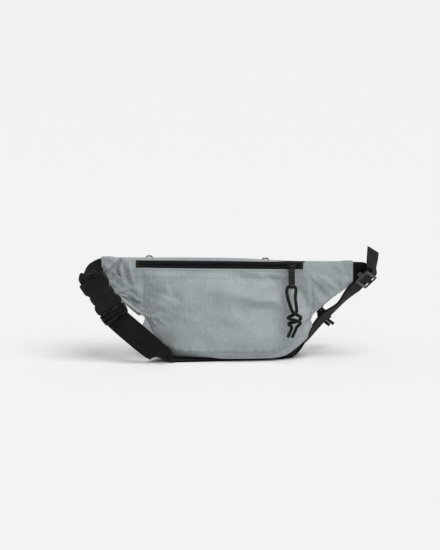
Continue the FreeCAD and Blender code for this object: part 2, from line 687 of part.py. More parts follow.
def buckle_housing():
    """The half on the anchor webbing: two plates, side rails, a webbing bar and side windows."""
    body = new_body("buckle_female", BUCKLE_PLACE)
    outline = new_sketch(body, "XY_Plane")
    half, slot_half, room = "dims.buckle_wide / 2", "dims.slot_wide / 2", "dims.cavity_wide / 2"
    mouth = "dims.housing_to + 2"
    rectangle(outline, "-" + half, half, "dims.housing_from", "dims.housing_to")
    pad(body, outline, "dims.housing_thick", True)
    round_edges(body, 3.4, along(Z_AXIS))
    cavity = new_sketch(body, "XY_Plane")
    rectangle(cavity, "-" + room, room, "dims.cavity_from", mouth)
    pocket(body, cavity, "dims.arm_thick + 1")
    windows = new_sketch(body, "XY_Plane")
    rectangle(windows, "-%s - 2" % half, "-%s + 1" % room, "dims.cavity_from", mouth)
    rectangle(windows, room + " - 1", half + " + 2", "dims.cavity_from", mouth)
    pocket(body, windows, "dims.arm_thick + 1")
    waist = new_sketch(body, "XY_Plane")
    rectangle(waist, "-%s - 2" % half, "-%s + dims.waist_deep" % half, "dims.cavity_from + 1.6", "1.8")
    rectangle(waist, half + " - dims.waist_deep", half + " + 2", "dims.cavity_from + 1.6", "1.8")
    pocket(body, waist, "dims.housing_thick + 2")
    slot = new_sketch(body, "XY_Plane")
    rectangle(slot, "-" + slot_half, slot_half, "%s" % HOUSING_BAR[1], "-21")
    rectangle(slot, "-" + slot_half, slot_half, "dims.housing_from - 2", "%s" % HOUSING_BAR[0])
    pocket(body, slot, "dims.housing_thick + 2")
    for sign in (1, -1):
        relief = new_sketch(body, "XY_Plane", "%d * (dims.housing_thick + dims.bar_thick) / 4" % sign)
        rectangle(relief, "-" + slot_half, slot_half, "dims.housing_from - 2", "-21.5")
        pocket(body, relief, "(dims.housing_thick - dims.bar_thick) / 2 + 0.001")
    return body


def buckle_insert():
    """The half on the belt: a base with two slots and a bar, and the middle tongue."""
    body = new_body("buckle_male", BUCKLE_PLACE)
    base = new_sketch(body, "XY_Plane")
    slot_half = "dims.slot_wide / 2"
    rectangle(base, "-dims.buckle_wide / 2", "dims.buckle_wide / 2", "dims.male_from", "dims.male_to")
    pad(body, base, "dims.male_thick", True)
    round_edges(body, 3, along(Z_AXIS))
    slot = new_sketch(body, "XY_Plane")
    rectangle(slot, "-" + slot_half, slot_half, "dims.male_from + 2", "%s" % MALE_BAR[0])
    rectangle(slot, "-" + slot_half, slot_half, "%s" % MALE_BAR[1], "dims.male_to - 4.9")
    pocket(body, slot, "dims.male_thick + 2")
    for sign in (1, -1):
        relief = new_sketch(body, "XY_Plane", "%d * (dims.male_thick + dims.bar_thick) / 4" % sign)
        rectangle(relief, "-" + slot_half, slot_half, "dims.male_from + 1.9", "dims.male_to - 5")
        pocket(body, relief, "(dims.male_thick - dims.bar_thick) / 2 + 0.001")
    behind = new_sketch(body, "XY_Plane", "-dims.male_thick / 2")
    rectangle(behind, "-" + slot_half, slot_half, "dims.male_to - 5.1", "dims.male_to + 1")
    pocket(body, behind, "2 * (dims.male_thick / 2 + dims.belt_thick / 2 + 0.3)")
    tongue = new_sketch(body, "XY_Plane")
    rectangle(tongue, "-dims.tongue_wide / 2", "dims.tongue_wide / 2", "-11", "dims.male_from + 1")
    pad(body, tongue, "3", True)
    return body


def latch_arm(label, sign):
    """One springy arm: its rounded root by the insert's base and its button in the housing's window."""
    body = new_body(label, BUCKLE_PLACE)
    arm = new_sketch(body, "XY_Plane")
    middle = "%d * dims.arm_middle" % sign
    rectangle(arm, middle + " - dims.arm_wide / 2", middle + " + dims.arm_wide / 2",
              "dims.arm_tip", "dims.arm_root")
    pad(body, arm, "dims.arm_thick", True)
    root = new_sketch(body, "XY_Plane")
    circle(root, middle, "dims.arm_root", "dims.arm_wide / 2")
    pad(body, root, "dims.arm_thick", True)
    button = new_sketch(body, "XY_Plane")
    sides = sorted((sign * (size("arm_middle") + 1.2), sign * size("button_out")))
    rectangle(button, str(sides[0]), str(sides[1]), "dims.arm_tip - 0.6", "1.4")
    pad(body, button, "dims.arm_thick", True)
    round_edges(body, 1.6, lambda edge: along(Z_AXIS)(edge) and abs(edge.CenterOfMass.x) > 15)
    return body


def tri_glide():
    """Two outer bars on one side of the webbing and the middle bar on the other, on two rails."""
    body = new_body("tri_glide", GLIDE_PLACE)
    half_wide, half_long, half_bar = "dims.glide_wide / 2", "dims.glide_long / 2", "dims.glide_bar / 2"
    room = "(dims.belt_thick / 2 + 0.3)"
    frame = new_sketch(body, "XY_Plane", "-%s - dims.glide_thick / 2" % room)
    rectangle(frame, "-" + half_wide, half_wide, "-" + half_long, half_long)
    pad(body, frame, "dims.glide_thick", True)
    round_edges(body, 2.6, along(Z_AXIS))
    opening = new_sketch(body, "XY_Plane", "-%s - dims.glide_thick / 2" % room)
    rectangle(opening, "-%s + dims.glide_rail" % half_wide, half_wide + " - dims.glide_rail",
              "-%s + dims.glide_bar" % half_long, half_long + " - dims.glide_bar")
    pocket(body, opening, "dims.glide_thick + 1")
    rails = new_sketch(body, "XY_Plane")
    rectangle(rails, "-" + half_wide, "-%s + dims.glide_rail" % half_wide,
              "-%s - 1" % half_bar, half_bar + " + 1")
    rectangle(rails, half_wide + " - dims.glide_rail", half_wide, "-%s - 1" % half_bar, half_bar + " + 1")
    pad(body, rails, "2 * %s + 2 * dims.glide_thick" % room, True)
    middle = new_sketch(body, "XY_Plane", "%s + dims.glide_thick / 2" % room)
    rectangle(middle, "-%s + 0.5" % half_wide, half_wide + " - 0.5", "-" + half_bar, half_bar)
    pad(body, middle, "dims.glide_thick", True)
    return body


# ---------------------------------------------------------------- the assembly

front_place = zip_placement(-1, size("front_zip_middle"), size("zip_high"))
back_place = zip_placement(1, size("back_zip_middle"), size("back_zip_high"))
front_set, front_joints = zip_set(
    "front", -1, size("front_zip_middle"), size("zip_high"),
    size("zip_long") / 2 - size("front_slider_from_end"))
back_set, back_joints = zip_set(
    "back", 1, size("back_zip_middle"), size("back_zip_high"), -size("zip_long") / 2 + 10.5)

sub_parts = [panel("front_panel", -1, front_place), panel("back_panel", 1, back_place),
             gusset(), divider(),
             seam_binding("front_seam_binding", -1), seam_binding("back_seam_binding", 1),
             anchor_webbing(), belt_webbing(),
             lash_loop("lash_loop_left", -99.7), lash_loop("lash_loop_right", 49),
             buckle_housing(), buckle_insert(),
             latch_arm("latch_arm_left", -1), latch_arm("latch_arm_right", 1),
             tri_glide()] + front_set + back_set
document.recompute()

for item in document.Objects:
    if {"Invalid", "Error"} & set(item.State):
        raise RuntimeError("%s is %s" % (item.Label, item.State))
for item in sub_parts:
    if item.Shape.isNull() or not item.Shape.isValid():
        raise RuntimeError("%s has no valid shape" % item.Label)

# The origin is on the floor, under the middle of the whole object without its cords.
ON_CORDS = ("_cord_left", "_cord_right", "_cord_knot")
solid_parts = [item for item in sub_parts if not item.Label.endswith(ON_CORDS)]
whole = Part.makeCompound([item.Shape for item in solid_parts])
bounds = whole.BoundBox
shift = Vector(-bounds.Center.x, -bounds.Center.y, -bounds.ZMin)
os.makedirs("parts", exist_ok=True)
for item in sub_parts:
    item.Placement = Placement(shift, Rotation()).multiply(item.Placement)
    item.Shape.exportStep(os.path.join("parts", item.Label + ".step"))

print("shift", shift, "size", bounds.XLength, bounds.YLength, bounds.ZLength)
print("latch pivots", in_buckle(size("arm_middle"), size("arm_root"), 0) + shift,
      in_buckle(-size("arm_middle"), size("arm_root"), 0) + shift)
print("buckle", BUCKLE_CENTRE + shift, BUCKLE_ALONG, BUCKLE_OUT)
print("glide", GLIDE_CENTRE + shift, GLIDE_ALONG)
for name, (point, axis) in {**front_joints, **back_joints}.items():
    print(name, point + shift, axis)
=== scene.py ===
import json
import math

import bmesh
import bpy
from mathutils import Matrix, Vector, noise
from mathutils.bvhtree import BVHTree

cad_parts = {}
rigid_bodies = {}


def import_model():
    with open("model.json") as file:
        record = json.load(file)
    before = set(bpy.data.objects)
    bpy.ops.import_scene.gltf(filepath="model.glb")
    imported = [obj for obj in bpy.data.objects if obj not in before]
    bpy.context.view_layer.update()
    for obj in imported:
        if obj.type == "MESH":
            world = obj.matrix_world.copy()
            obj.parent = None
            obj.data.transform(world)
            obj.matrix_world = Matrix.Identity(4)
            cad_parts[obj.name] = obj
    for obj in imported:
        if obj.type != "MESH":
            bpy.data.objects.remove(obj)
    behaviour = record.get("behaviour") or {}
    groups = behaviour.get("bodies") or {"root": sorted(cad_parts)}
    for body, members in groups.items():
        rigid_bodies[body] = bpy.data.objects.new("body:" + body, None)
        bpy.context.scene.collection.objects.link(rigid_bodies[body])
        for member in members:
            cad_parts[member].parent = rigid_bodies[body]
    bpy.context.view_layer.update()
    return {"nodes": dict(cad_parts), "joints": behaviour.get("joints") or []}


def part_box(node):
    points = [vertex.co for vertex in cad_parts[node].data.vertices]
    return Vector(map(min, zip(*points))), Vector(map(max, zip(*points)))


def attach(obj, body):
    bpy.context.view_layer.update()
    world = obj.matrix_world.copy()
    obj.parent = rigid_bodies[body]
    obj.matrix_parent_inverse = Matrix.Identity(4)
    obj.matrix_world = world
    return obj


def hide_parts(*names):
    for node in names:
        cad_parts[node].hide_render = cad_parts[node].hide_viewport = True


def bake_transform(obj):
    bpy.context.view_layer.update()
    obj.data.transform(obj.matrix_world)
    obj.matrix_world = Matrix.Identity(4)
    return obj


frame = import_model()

MM = 0.001
QUARTER_TURN = math.radians(90)

# ---------------------------------------------------------------- where things are, from the frame

JOINTS = {joint["name"]: joint for joint in frame["joints"]}
PANEL_LOW, PANEL_HIGH = [Vector(corner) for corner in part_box("front_panel")]
LOOP_LOW, LOOP_HIGH = [Vector(corner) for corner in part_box("lash_loop_left")]
LEAN_BACK = 10
HOME = Vector(((PANEL_LOW.x + PANEL_HIGH.x) / 2, (LOOP_LOW.y + LOOP_HIGH.y) / 2 - LEAN_BACK * MM, 0))


def at(x, y, z):
    """A point of the bag's own frame, in millimetres, in the pack's frame in metres."""
    return HOME + Vector((x, y, z)) * MM


def own_frame(origin, x_axis, y_axis):
    """A matrix for a piece's own frame in millimetres."""
    x_axis, y_axis = x_axis.normalized(), y_axis.normalized()
    z_axis = x_axis.cross(y_axis)
    turn = Matrix((x_axis, y_axis, z_axis)).transposed().to_4x4()
    return Matrix.Translation(origin) @ turn @ Matrix.Scale(MM, 4)


# ---------------------------------------------------------------- materials


class Nodes:
    """A short way to write a material's node tree."""

    def __init__(self, name):
        self.material = bpy.data.materials.new(name)
        self.material.use_nodes = True
        self.tree = self.material.node_tree
        self.shader = self.tree.nodes["Principled BSDF"]

    def link(self, source, target):
        self.tree.links.new(source, target)

    def math(self, operation, first, second=None):
        node = self.tree.nodes.new("ShaderNodeMath")
        node.operation = operation
        for socket, value in zip(node.inputs, (first, second)):
            if isinstance(value, (int, float)):
                socket.default_value = value
            elif value is not None:
                self.link(value, socket)
        return node.outputs[0]

    def times(self, first, second):
        return self.math("MULTIPLY", first, second)

    def plus(self, first, second):
        return self.math("ADD", first, second)

    def waves(self, coordinate, pitch):
        """A sine that repeats every pitch."""
        return self.math("SINE", self.times(coordinate, 2 * math.pi / pitch))

    def place(self, source):
        node = self.tree.nodes.new("ShaderNodeTexCoord")
        return node.outputs[source]

    def split(self, vector):
        node = self.tree.nodes.new("ShaderNodeSeparateXYZ")
        self.link(vector, node.inputs[0])
        return node.outputs

    def noise(self, vector, scale, detail=3.0, roughness=0.55):
        node = self.tree.nodes.new("ShaderNodeTexNoise")
        node.inputs["Scale"].default_value = scale
        node.inputs["Detail"].default_value = detail
        node.inputs["Roughness"].default_value = roughness
        self.link(vector, node.inputs["Vector"])
        return node.outputs["Fac"]

    def ramp(self, factor, low, high, start, end):
        """A value remapped smoothly, from between start and end to between low and high."""
        node = self.tree.nodes.new("ShaderNodeMapRange")
        node.interpolation_type = "SMOOTHSTEP"
        for index, value in enumerate((start, end, low, high), start=1):
            node.inputs[index].default_value = value
        self.link(factor, node.inputs[0])
        return node.outputs[0]

    def mix(self, factor, first, second):
        node = self.tree.nodes.new("ShaderNodeMix")
        node.data_type = "RGBA"
        self.link(factor, node.inputs[0])
        for socket, value in ((node.inputs[6], first), (node.inputs[7], second)):
            if isinstance(value, tuple):
                socket.default_value = (*value, 1.0)
            else:
                self.link(value, socket)
        return node.outputs[2]

    def bump(self, height, distance, strength):
        node = self.tree.nodes.new("ShaderNodeBump")
        node.inputs["Strength"].default_value = strength
        node.inputs["Distance"].default_value = distance
        self.link(height, node.inputs["Height"])
        return node.outputs[0]

    def finish(self, color, roughness, normal, sheen=0.0, specular=0.5):
        for name, value in (("Base Color", color), ("Roughness", roughness), ("Normal", normal)):
            if isinstance(value, tuple):
                self.shader.inputs[name].default_value = (*value, 1.0)
            elif isinstance(value, (int, float)):
                self.shader.inputs[name].default_value = value
            else:
                self.link(value, self.shader.inputs[name])
        self.shader.inputs["Sheen Weight"].default_value = sheen
        self.shader.inputs["Specular IOR Level"].default_value = specular
        return self.material


def scaled(color, share):
    """A colour made darker or lighter."""
    return tuple(channel * share for channel in color)


def thread_lines(nodes, coordinate, pitch, wide):
    """1 on thin lines that repeat every pitch, 0 between them; lengths in metres."""
    near = nodes.math("PINGPONG", coordinate, pitch / 2)
    return nodes.ramp(near, 1.0, 0.0, 0.0, wide)


def ripstop_fabric(name, light, dark):
    """Thin nylon: a square grid of thicker threads over a fine plain weave."""
    nodes, thread = Nodes(name), 0.0007
    uv = nodes.place("UV")
    u, v, _ = nodes.split(uv)
    grid_u = thread_lines(nodes, u, pitch=0.0034, wide=0.0006)
    grid_v = nodes.times(thread_lines(nodes, v, pitch=0.0042, wide=0.0005), 0.55)
    grid = nodes.math("MAXIMUM", grid_u, grid_v)
    knots = nodes.times(grid_u, grid_v)
    weave = nodes.times(nodes.waves(u, thread), nodes.waves(v, thread))
    broad = nodes.noise(uv, 28, 3)
    mottle = nodes.noise(uv, 260, 2, 0.7)
    tone = nodes.plus(nodes.times(broad, 0.5), nodes.times(mottle, 0.5))
    tone = nodes.ramp(tone, 0.0, 1.0, 0.34, 0.66)
    base = nodes.mix(tone, dark, light)
    lines = nodes.mix(nodes.times(grid, 0.42), base, scaled(dark, 0.74))
    color = nodes.mix(nodes.times(knots, 0.45), lines, scaled(dark, 0.5))
    height = nodes.plus(nodes.times(grid, 1.0), nodes.times(weave, 0.22))
    normal = nodes.bump(height, 0.00022, 0.7)
    rough = nodes.ramp(mottle, 0.5, 0.66, 0.3, 0.7)
    return nodes.finish(color, rough, normal, sheen=0.25, specular=0.35)


def woven_webbing(name, dark, light):
    """Nylon webbing: crosswise ribs in a fine zigzag over lengthwise warp threads, with painted shade in
    the weave's hollows over random patches of wear.
    """
    nodes, rib, warp_pitch = Nodes(name), 0.0013, 0.0021
    uv = nodes.place("UV")
    u, v, _ = nodes.split(uv)
    slant = nodes.math("PINGPONG", u, warp_pitch)
    ribs = nodes.waves(nodes.plus(v, slant), rib)
    warp = nodes.waves(u, warp_pitch)
    height = nodes.plus(nodes.times(ribs, 0.5), nodes.times(warp, 0.5))
    wear = nodes.noise(uv, 90, 4)
    # Painted shade: darker where the weave dips and lighter on the crowns of the ribs, times random patches
    # of wear.
    tone = nodes.times(nodes.ramp(height, 0.1, 1.0, -1.0, 1.0), nodes.ramp(wear, 0.4, 1.0, 0.3, 0.7))
    color = nodes.mix(tone, dark, light)
    normal = nodes.bump(height, 0.00035, 0.8)
    return nodes.finish(color, 0.78, normal, sheen=0.05, specular=0.12)


def moulded_plastic(name, color, rough, shine=0.32):
    """Acetal with a fine spark-eroded grain, and a polish that varies a little."""
    nodes = Nodes(name)
    place = nodes.place("Object")
    grain = nodes.noise(place, 2600, 2, 0.6)
    broad = nodes.noise(place, 70, 3)
    tint = nodes.mix(nodes.ramp(broad, 0.0, 1.0, 0.3, 0.7), scaled(color, 0.8), scaled(color, 1.25))
    normal = nodes.bump(grain, 0.00006, 0.5)
    polish = nodes.ramp(broad, rough - 0.06, rough + 0.08, 0.3, 0.7)
    return nodes.finish(tint, polish, normal, specular=shine)


def coated_metal(name, color, rough):
    """Black-coated zinc, worn lighter in small patches."""
    nodes = Nodes(name)
    place = nodes.place("Object")
    wear = nodes.noise(place, 420, 4)
    tint = nodes.mix(nodes.ramp(wear, 0.0, 1.0, 0.55, 0.75), color, scaled(color, 2.2))
    normal = nodes.bump(nodes.noise(place, 1500, 2), 0.00004, 0.4)
    nodes.shader.inputs["Metallic"].default_value = 0.15
    return nodes.finish(tint, nodes.ramp(wear, rough, rough + 0.15, 0.3, 0.7), normal, specular=0.28)


def braided_cord(name, dark, light):
    """A braided cover: two sets of strands that cross at a slant round the cord, coloured with painted
    shade between the strands and lighter on their crowns.
    """
    nodes = Nodes(name)
    around, along, _ = nodes.split(nodes.place("UV"))
    sets = []
    for sign in (1, -1):
        turn = nodes.plus(nodes.times(along, 60.0), nodes.times(around, 8.0 * sign))
        sets.append(nodes.waves(turn, 1))
    height = nodes.math("MAXIMUM", sets[0], sets[1])
    # Painted shade and highlight: darker between the strands, lighter on their crowns.
    color = nodes.mix(nodes.ramp(height, 0.0, 1.0, -0.6, 1.0), dark, light)
    normal = nodes.bump(height, 0.0003, 0.8)
    return nodes.finish(color, 0.75, normal, sheen=0.05, specular=0.15)


def plain_cloth(name, color):
    """A lining or zip tape: a fine even weave, with painted shade in its hollows."""
    nodes = Nodes(name)
    x, _, z = nodes.split(nodes.place("Object"))
    weave = nodes.times(nodes.waves(x, 0.0009), nodes.waves(z, 0.0009))
    # Painted shade: the cloth is drawn darker where its weave dips.
    tint = nodes.mix(nodes.ramp(weave, 0.0, 1.0, -1.0, 1.0), scaled(color, 0.7), color)
    return nodes.finish(tint, 0.8, nodes.bump(weave, 0.0001, 0.6), sheen=0.1, specular=0.3)


FABRIC = ripstop_fabric("ripstop_fabric", (0.36, 0.40, 0.405), (0.29, 0.327, 0.333))
WEBBING = woven_webbing("black_webbing", (0.003, 0.003, 0.0033), (0.013, 0.013, 0.0142))
PLASTIC = moulded_plastic("black_plastic", (0.0055, 0.0057, 0.0067), 0.4, 0.24)
GLIDE_PLASTIC = moulded_plastic("glide_plastic", (0.036, 0.037, 0.042), 0.45)
METAL = coated_metal("dark_metal", (0.009, 0.009, 0.01), 0.35)
CORD = braided_cord("black_cord", (0.002, 0.002, 0.0023), (0.009, 0.009, 0.0098))
TAPE = plain_cloth("zip_tape", (0.014, 0.014, 0.0155))
LINING = plain_cloth("lining_fabric", (0.12, 0.13, 0.14))
COIL = moulded_plastic("zip_coil", (0.016, 0.0155, 0.016), 0.8, 0.18)
THREAD = plain_cloth("grey_thread", (0.25, 0.28, 0.282))

# ---------------------------------------------------------------- mesh helpers


def linked(name, data):
    """A new object, in the scene."""
    piece = bpy.data.objects.new(name, data)
    bpy.context.scene.collection.objects.link(piece)
    return piece


def new_object(name, mesh, material, body):
    """A piece with one material; one that still gets its modifiers baked has no body yet."""
    piece = linked(name, mesh)
    mesh.materials.clear()
    mesh.materials.append(material)
    for face in mesh.polygons:
        face.use_smooth = True
    if body:
        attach(piece, body)
    return piece


def evaluated_mesh(piece):
    """An object's final mesh, with its modifiers or its curve's thickness in it."""
    return bpy.data.meshes.new_from_object(piece.evaluated_get(bpy.context.evaluated_depsgraph_get()))


def bake_modifiers(piece):
    """Applies an object's modifiers, so that its mesh is the final one."""
    mesh = evaluated_mesh(piece)
    piece.modifiers.clear()
    piece.data = mesh


def curve_mesh(curve):
    """A curve's surface as a mesh."""
    holder = linked(curve.name, curve)
    bpy.context.view_layer.update()
    mesh = evaluated_mesh(holder)
    bpy.data.objects.remove(holder)
    return mesh


def plate_mesh(outlines, thick, bevel, place, lift=0.0):
    """A flat plate with rounded edges; the first outline is its rim, the others are holes."""
    curve = bpy.data.curves.new("plate", "CURVE")
    curve.dimensions = "2D"
    curve.fill_mode = "BOTH"
    curve.extrude = thick / 2 - bevel
    curve.bevel_depth = bevel
    curve.bevel_resolution = 2
    curve.offset = -bevel
    for outline in outlines:
        spline = curve.splines.new("POLY")
        spline.points.add(len(outline) - 1)
        for point, (x, y) in zip(spline.points, outline):
            point.co = (x, y, 0, 1)
        spline.use_cyclic_u = True
    mesh = curve_mesh(curve)
    mesh.transform(place @ Matrix.Translation((0, 0, lift)))
    return mesh


def round_curve(name, points, radius, smooth_round, smooth_along):
    """A wire or cord: one open NURBS spline with closed ends."""
    curve = bpy.data.curves.new(name, "CURVE")
    curve.dimensions = "3D"
    curve.bevel_depth = radius
    curve.bevel_resolution = smooth_round
    curve.resolution_u = smooth_along
    curve.use_fill_caps = True
    spline = curve.splines.new("NURBS")
    spline.points.add(len(points) - 1)
    for target, point in zip(spline.points, points):
        target.co = (*point, 1)
    spline.order_u = 3
    spline.use_endpoint_u = True
    return curve


def mesh_of(build, name):
    """The mesh that a bmesh holds; the bmesh is done with."""
    mesh = bpy.data.meshes.new(name)
    build.to_mesh(mesh)
    build.free()
    return mesh


def add_tube(build, sections, radius, corners=6):
    """A closed tube through sections, each a centre and the two directions across it."""
    rings = []
    for centre, side, other in sections:
        ring = []
        for corner in range(corners):
            angle = 2 * math.pi * corner / corners
            around = side * math.cos(angle) + other * math.sin(angle)
            ring.append(build.verts.new(centre + around * radius))
        rings.append(ring)
    for first, second in zip(rings, rings[1:]):
        for corner in range(corners):
            build.faces.new((first[corner], first[corner - 1], second[corner - 1], second[corner]))
    build.faces.new(rings[0])
    build.faces.new(rings[-1])


def join_meshes(name, meshes):
    """One mesh from several, each kept as its own closed shell."""
    whole = bmesh.new()
    for mesh in meshes:
        whole.from_mesh(mesh)
    return mesh_of(whole, name)


def rounded(points, radius, steps=5):
    """An outline's corners cut to arcs; each point may bring a radius of its own."""
    outline = []
    count = len(points)
    for i, point in enumerate(points):
        here = Vector(point[:2])
        before = Vector(points[i - 1][:2]) - here
        after = Vector(points[(i + 1) % count][:2]) - here
        own = point[2] if len(point) > 2 else radius
        reach = min(own, before.length * 0.48, after.length * 0.48)
        start, end = here + before.normalized() * reach, here + after.normalized() * reach
        for step in range(steps + 1):
            t = step / steps
            outline.append(tuple(start * (1 - t) ** 2 + here * 2 * t * (1 - t) + end * t * t))
    return outline


def box_outline(low_x, high_x, low_y, high_y, radius):
    """A rectangle with rounded corners."""
    return rounded([(low_x, low_y), (high_x, low_y), (high_x, high_y), (low_x, high_y)], radius)


# ---------------------------------------------------------------- the sewn shell


WING_REACH, GUSSET_REACH, SEAM_HEIGHT, GUSSET_TOP = 161, 106, 11, 54
TIP_LOW, BAG_HEIGHT, TOP_DROP = 98, 129, 2.7
BASE_DEPTH, BAND_DEPTH, WING_DEPTH, RIM_DEPTH = 60, 7.2, 4.6, 2.6
ZIP_HALF_WINDOW, ZIP_TILT = 5.3, math.radians(0.53)
ZIPS = {"front": {"side": -1, "middle": -9.8, "high": 121.6},
        "back": {"side": 1, "middle": 28, "high": 118}}
ZIP_LONG = 214
# How far the left wing's lower edge hangs behind the belt.
LEFT_SAG = 9
# How far the gusset swells past its seams, how much more at its ends, and its dip left of the middle.
GUSSET_SWELL, FULLER_LEFT, FULLER_RIGHT, SWELL_DIP = 7.2, 6, 4.2, 2.2
# How far out the two panels are sewn together, along the top and along the bottom.
TOP_SEWN_TO, BOTTOM_SEWN_TO = 146, 142
FABRIC_THICK, BINDING_THICK, BINDING_WIDE, BINDING_INSET = 0.7, 0.5, 7, 1.8
PARTS = {"front": 1, "back": 2, "gusset": 3}


def blend(value, low, high):
    """0 up to low and 1 from high on, with a smooth rise between them."""
    part = min(max((value - low) / (high - low), 0), 1)
    return part * part * (3 - 2 * part)


def top_height(x):
    """The top seam, a little lower on the right."""
    return BAG_HEIGHT - TOP_DROP * math.tanh((x - 45) / 40)


def lower_height(x):
    """The lower seam: flat in the middle, up round the corners, and straight to the wings' tips."""
    reach, corner = abs(x), GUSSET_REACH - 1
    if reach > corner:
        sag = LEFT_SAG * blend(-x, corner, corner + 8) * (1 - blend(-x, 130, 152))
        return GUSSET_TOP + (reach - corner) * (TIP_LOW - GUSSET_TOP) / (WING_REACH - corner) - sag
    bend = max(reach - 55, 0) / (corner - 55)
    return SEAM_HEIGHT + (GUSSET_TOP - SEAM_HEIGHT) * bend ** 2.4


def middle_depth(z):
    """How far the bag's middle leans back at a height."""
    return LEAN_BACK * blend(z, 5, 112)


def base_half_depth(x):
    """Half the depth at the lower seam, all along the bag."""
    reach, closed = abs(x) / GUSSET_REACH, RIM_DEPTH / 2
    if reach < 1:
        return closed + (BASE_DEPTH / 2 - closed) * (1 - reach * reach) ** 0.55
    return closed + (WING_DEPTH / 2 - closed) * blend(abs(x), 140, 150)


def half_depth(x, z):
    """Half the bag's depth: a thin rim, the zips' flat band, and the belly below it."""
    rim, band = 3, 16
    drop = top_height(x) - z
    flat = BAND_DEPTH / 2
    flat += (WING_DEPTH / 2 - flat) * blend(abs(x), 136, 150)
    if drop < rim:
        closed = RIM_DEPTH / 2 + (flat - RIM_DEPTH / 2) * blend(abs(x), 146, 152)
        return closed + (flat - closed) * max(drop, 0) / rim
    if drop < band:
        return flat
    share = (drop - band) / max(top_height(x) - lower_height(x) - band, 1)
    belly = math.sin(1.822 * share) / math.sin(1.822)
    return flat + (base_half_depth(x) - flat) * belly


def zip_line(x, name):
    """The height of a zip's middle line."""
    return ZIPS[name]["high"] - (x - ZIPS["front"]["middle"]) * math.tan(ZIP_TILT)


def seam_columns(step=2.6):
    """Places across the bag, evenly spaced along its lower seam, with the zips' and gusset's ends."""
    fine_step = 0.25
    fine = [-WING_REACH + fine_step * i for i in range(int(2 * WING_REACH / fine_step) + 1)]
    columns, gone = [fine[0]], 0.0
    for before, here in zip(fine, fine[1:]):
        gone += math.hypot(here - before, lower_height(here) - lower_height(before))
        if gone >= step:
            columns.append(here)
            gone = 0.0
    columns[-1] = fine[-1]
    ends = [spec["middle"] + end * ZIP_LONG / 2 for spec in ZIPS.values() for end in (-1, 1)]
    for end in ends + [-GUSSET_REACH + 1, GUSSET_REACH - 1]:
        nearest = min(range(len(columns)), key=lambda i: abs(columns[i] - end))
        columns[nearest] = end
    return columns


BAND_ROWS, WINDOW_ROWS, BELLY_ROWS, GUSSET_ROWS = 2, 2, 34, 14


def row_heights(x, name):
    """Heights of the panel's rows at one column, from the top seam down to the lower seam."""
    anchors = [top_height(x), zip_line(x, name) + ZIP_HALF_WINDOW, zip_line(x, name) - ZIP_HALF_WINDOW,
               lower_height(x)]
    anchors[1] = min(anchors[1], anchors[0] - 0.8)
    heights = []
    for (high, low), rows in zip(zip(anchors, anchors[1:]), (BAND_ROWS, WINDOW_ROWS, BELLY_ROWS)):
        heights += [high + (low - high) * i / rows for i in range(rows)]
    return heights + [anchors[-1]]


def seam_outward(x):
    """The direction square to the lower seam, out of the bag."""
    run = Vector((1.0, 0, lower_height(x + 0.5) - lower_height(x - 0.5)))
    return Vector((run.z, 0, -run.x)).normalized()


def gusset_swell(x):
    """How far the gusset's middle stands out past its seams."""
    fuller = FULLER_RIGHT if x > 0 else FULLER_LEFT
    end_hold = 1 - (abs(x) / GUSSET_REACH) ** 50
    swell = 1 + (GUSSET_SWELL + fuller * blend(abs(x), 62, 96)) * end_hold
    swell -= SWELL_DIP * blend(-x, 5, 30) * blend(x, -75, -50)
    return swell * blend(GUSSET_REACH - 1 - abs(x), 0, 4)


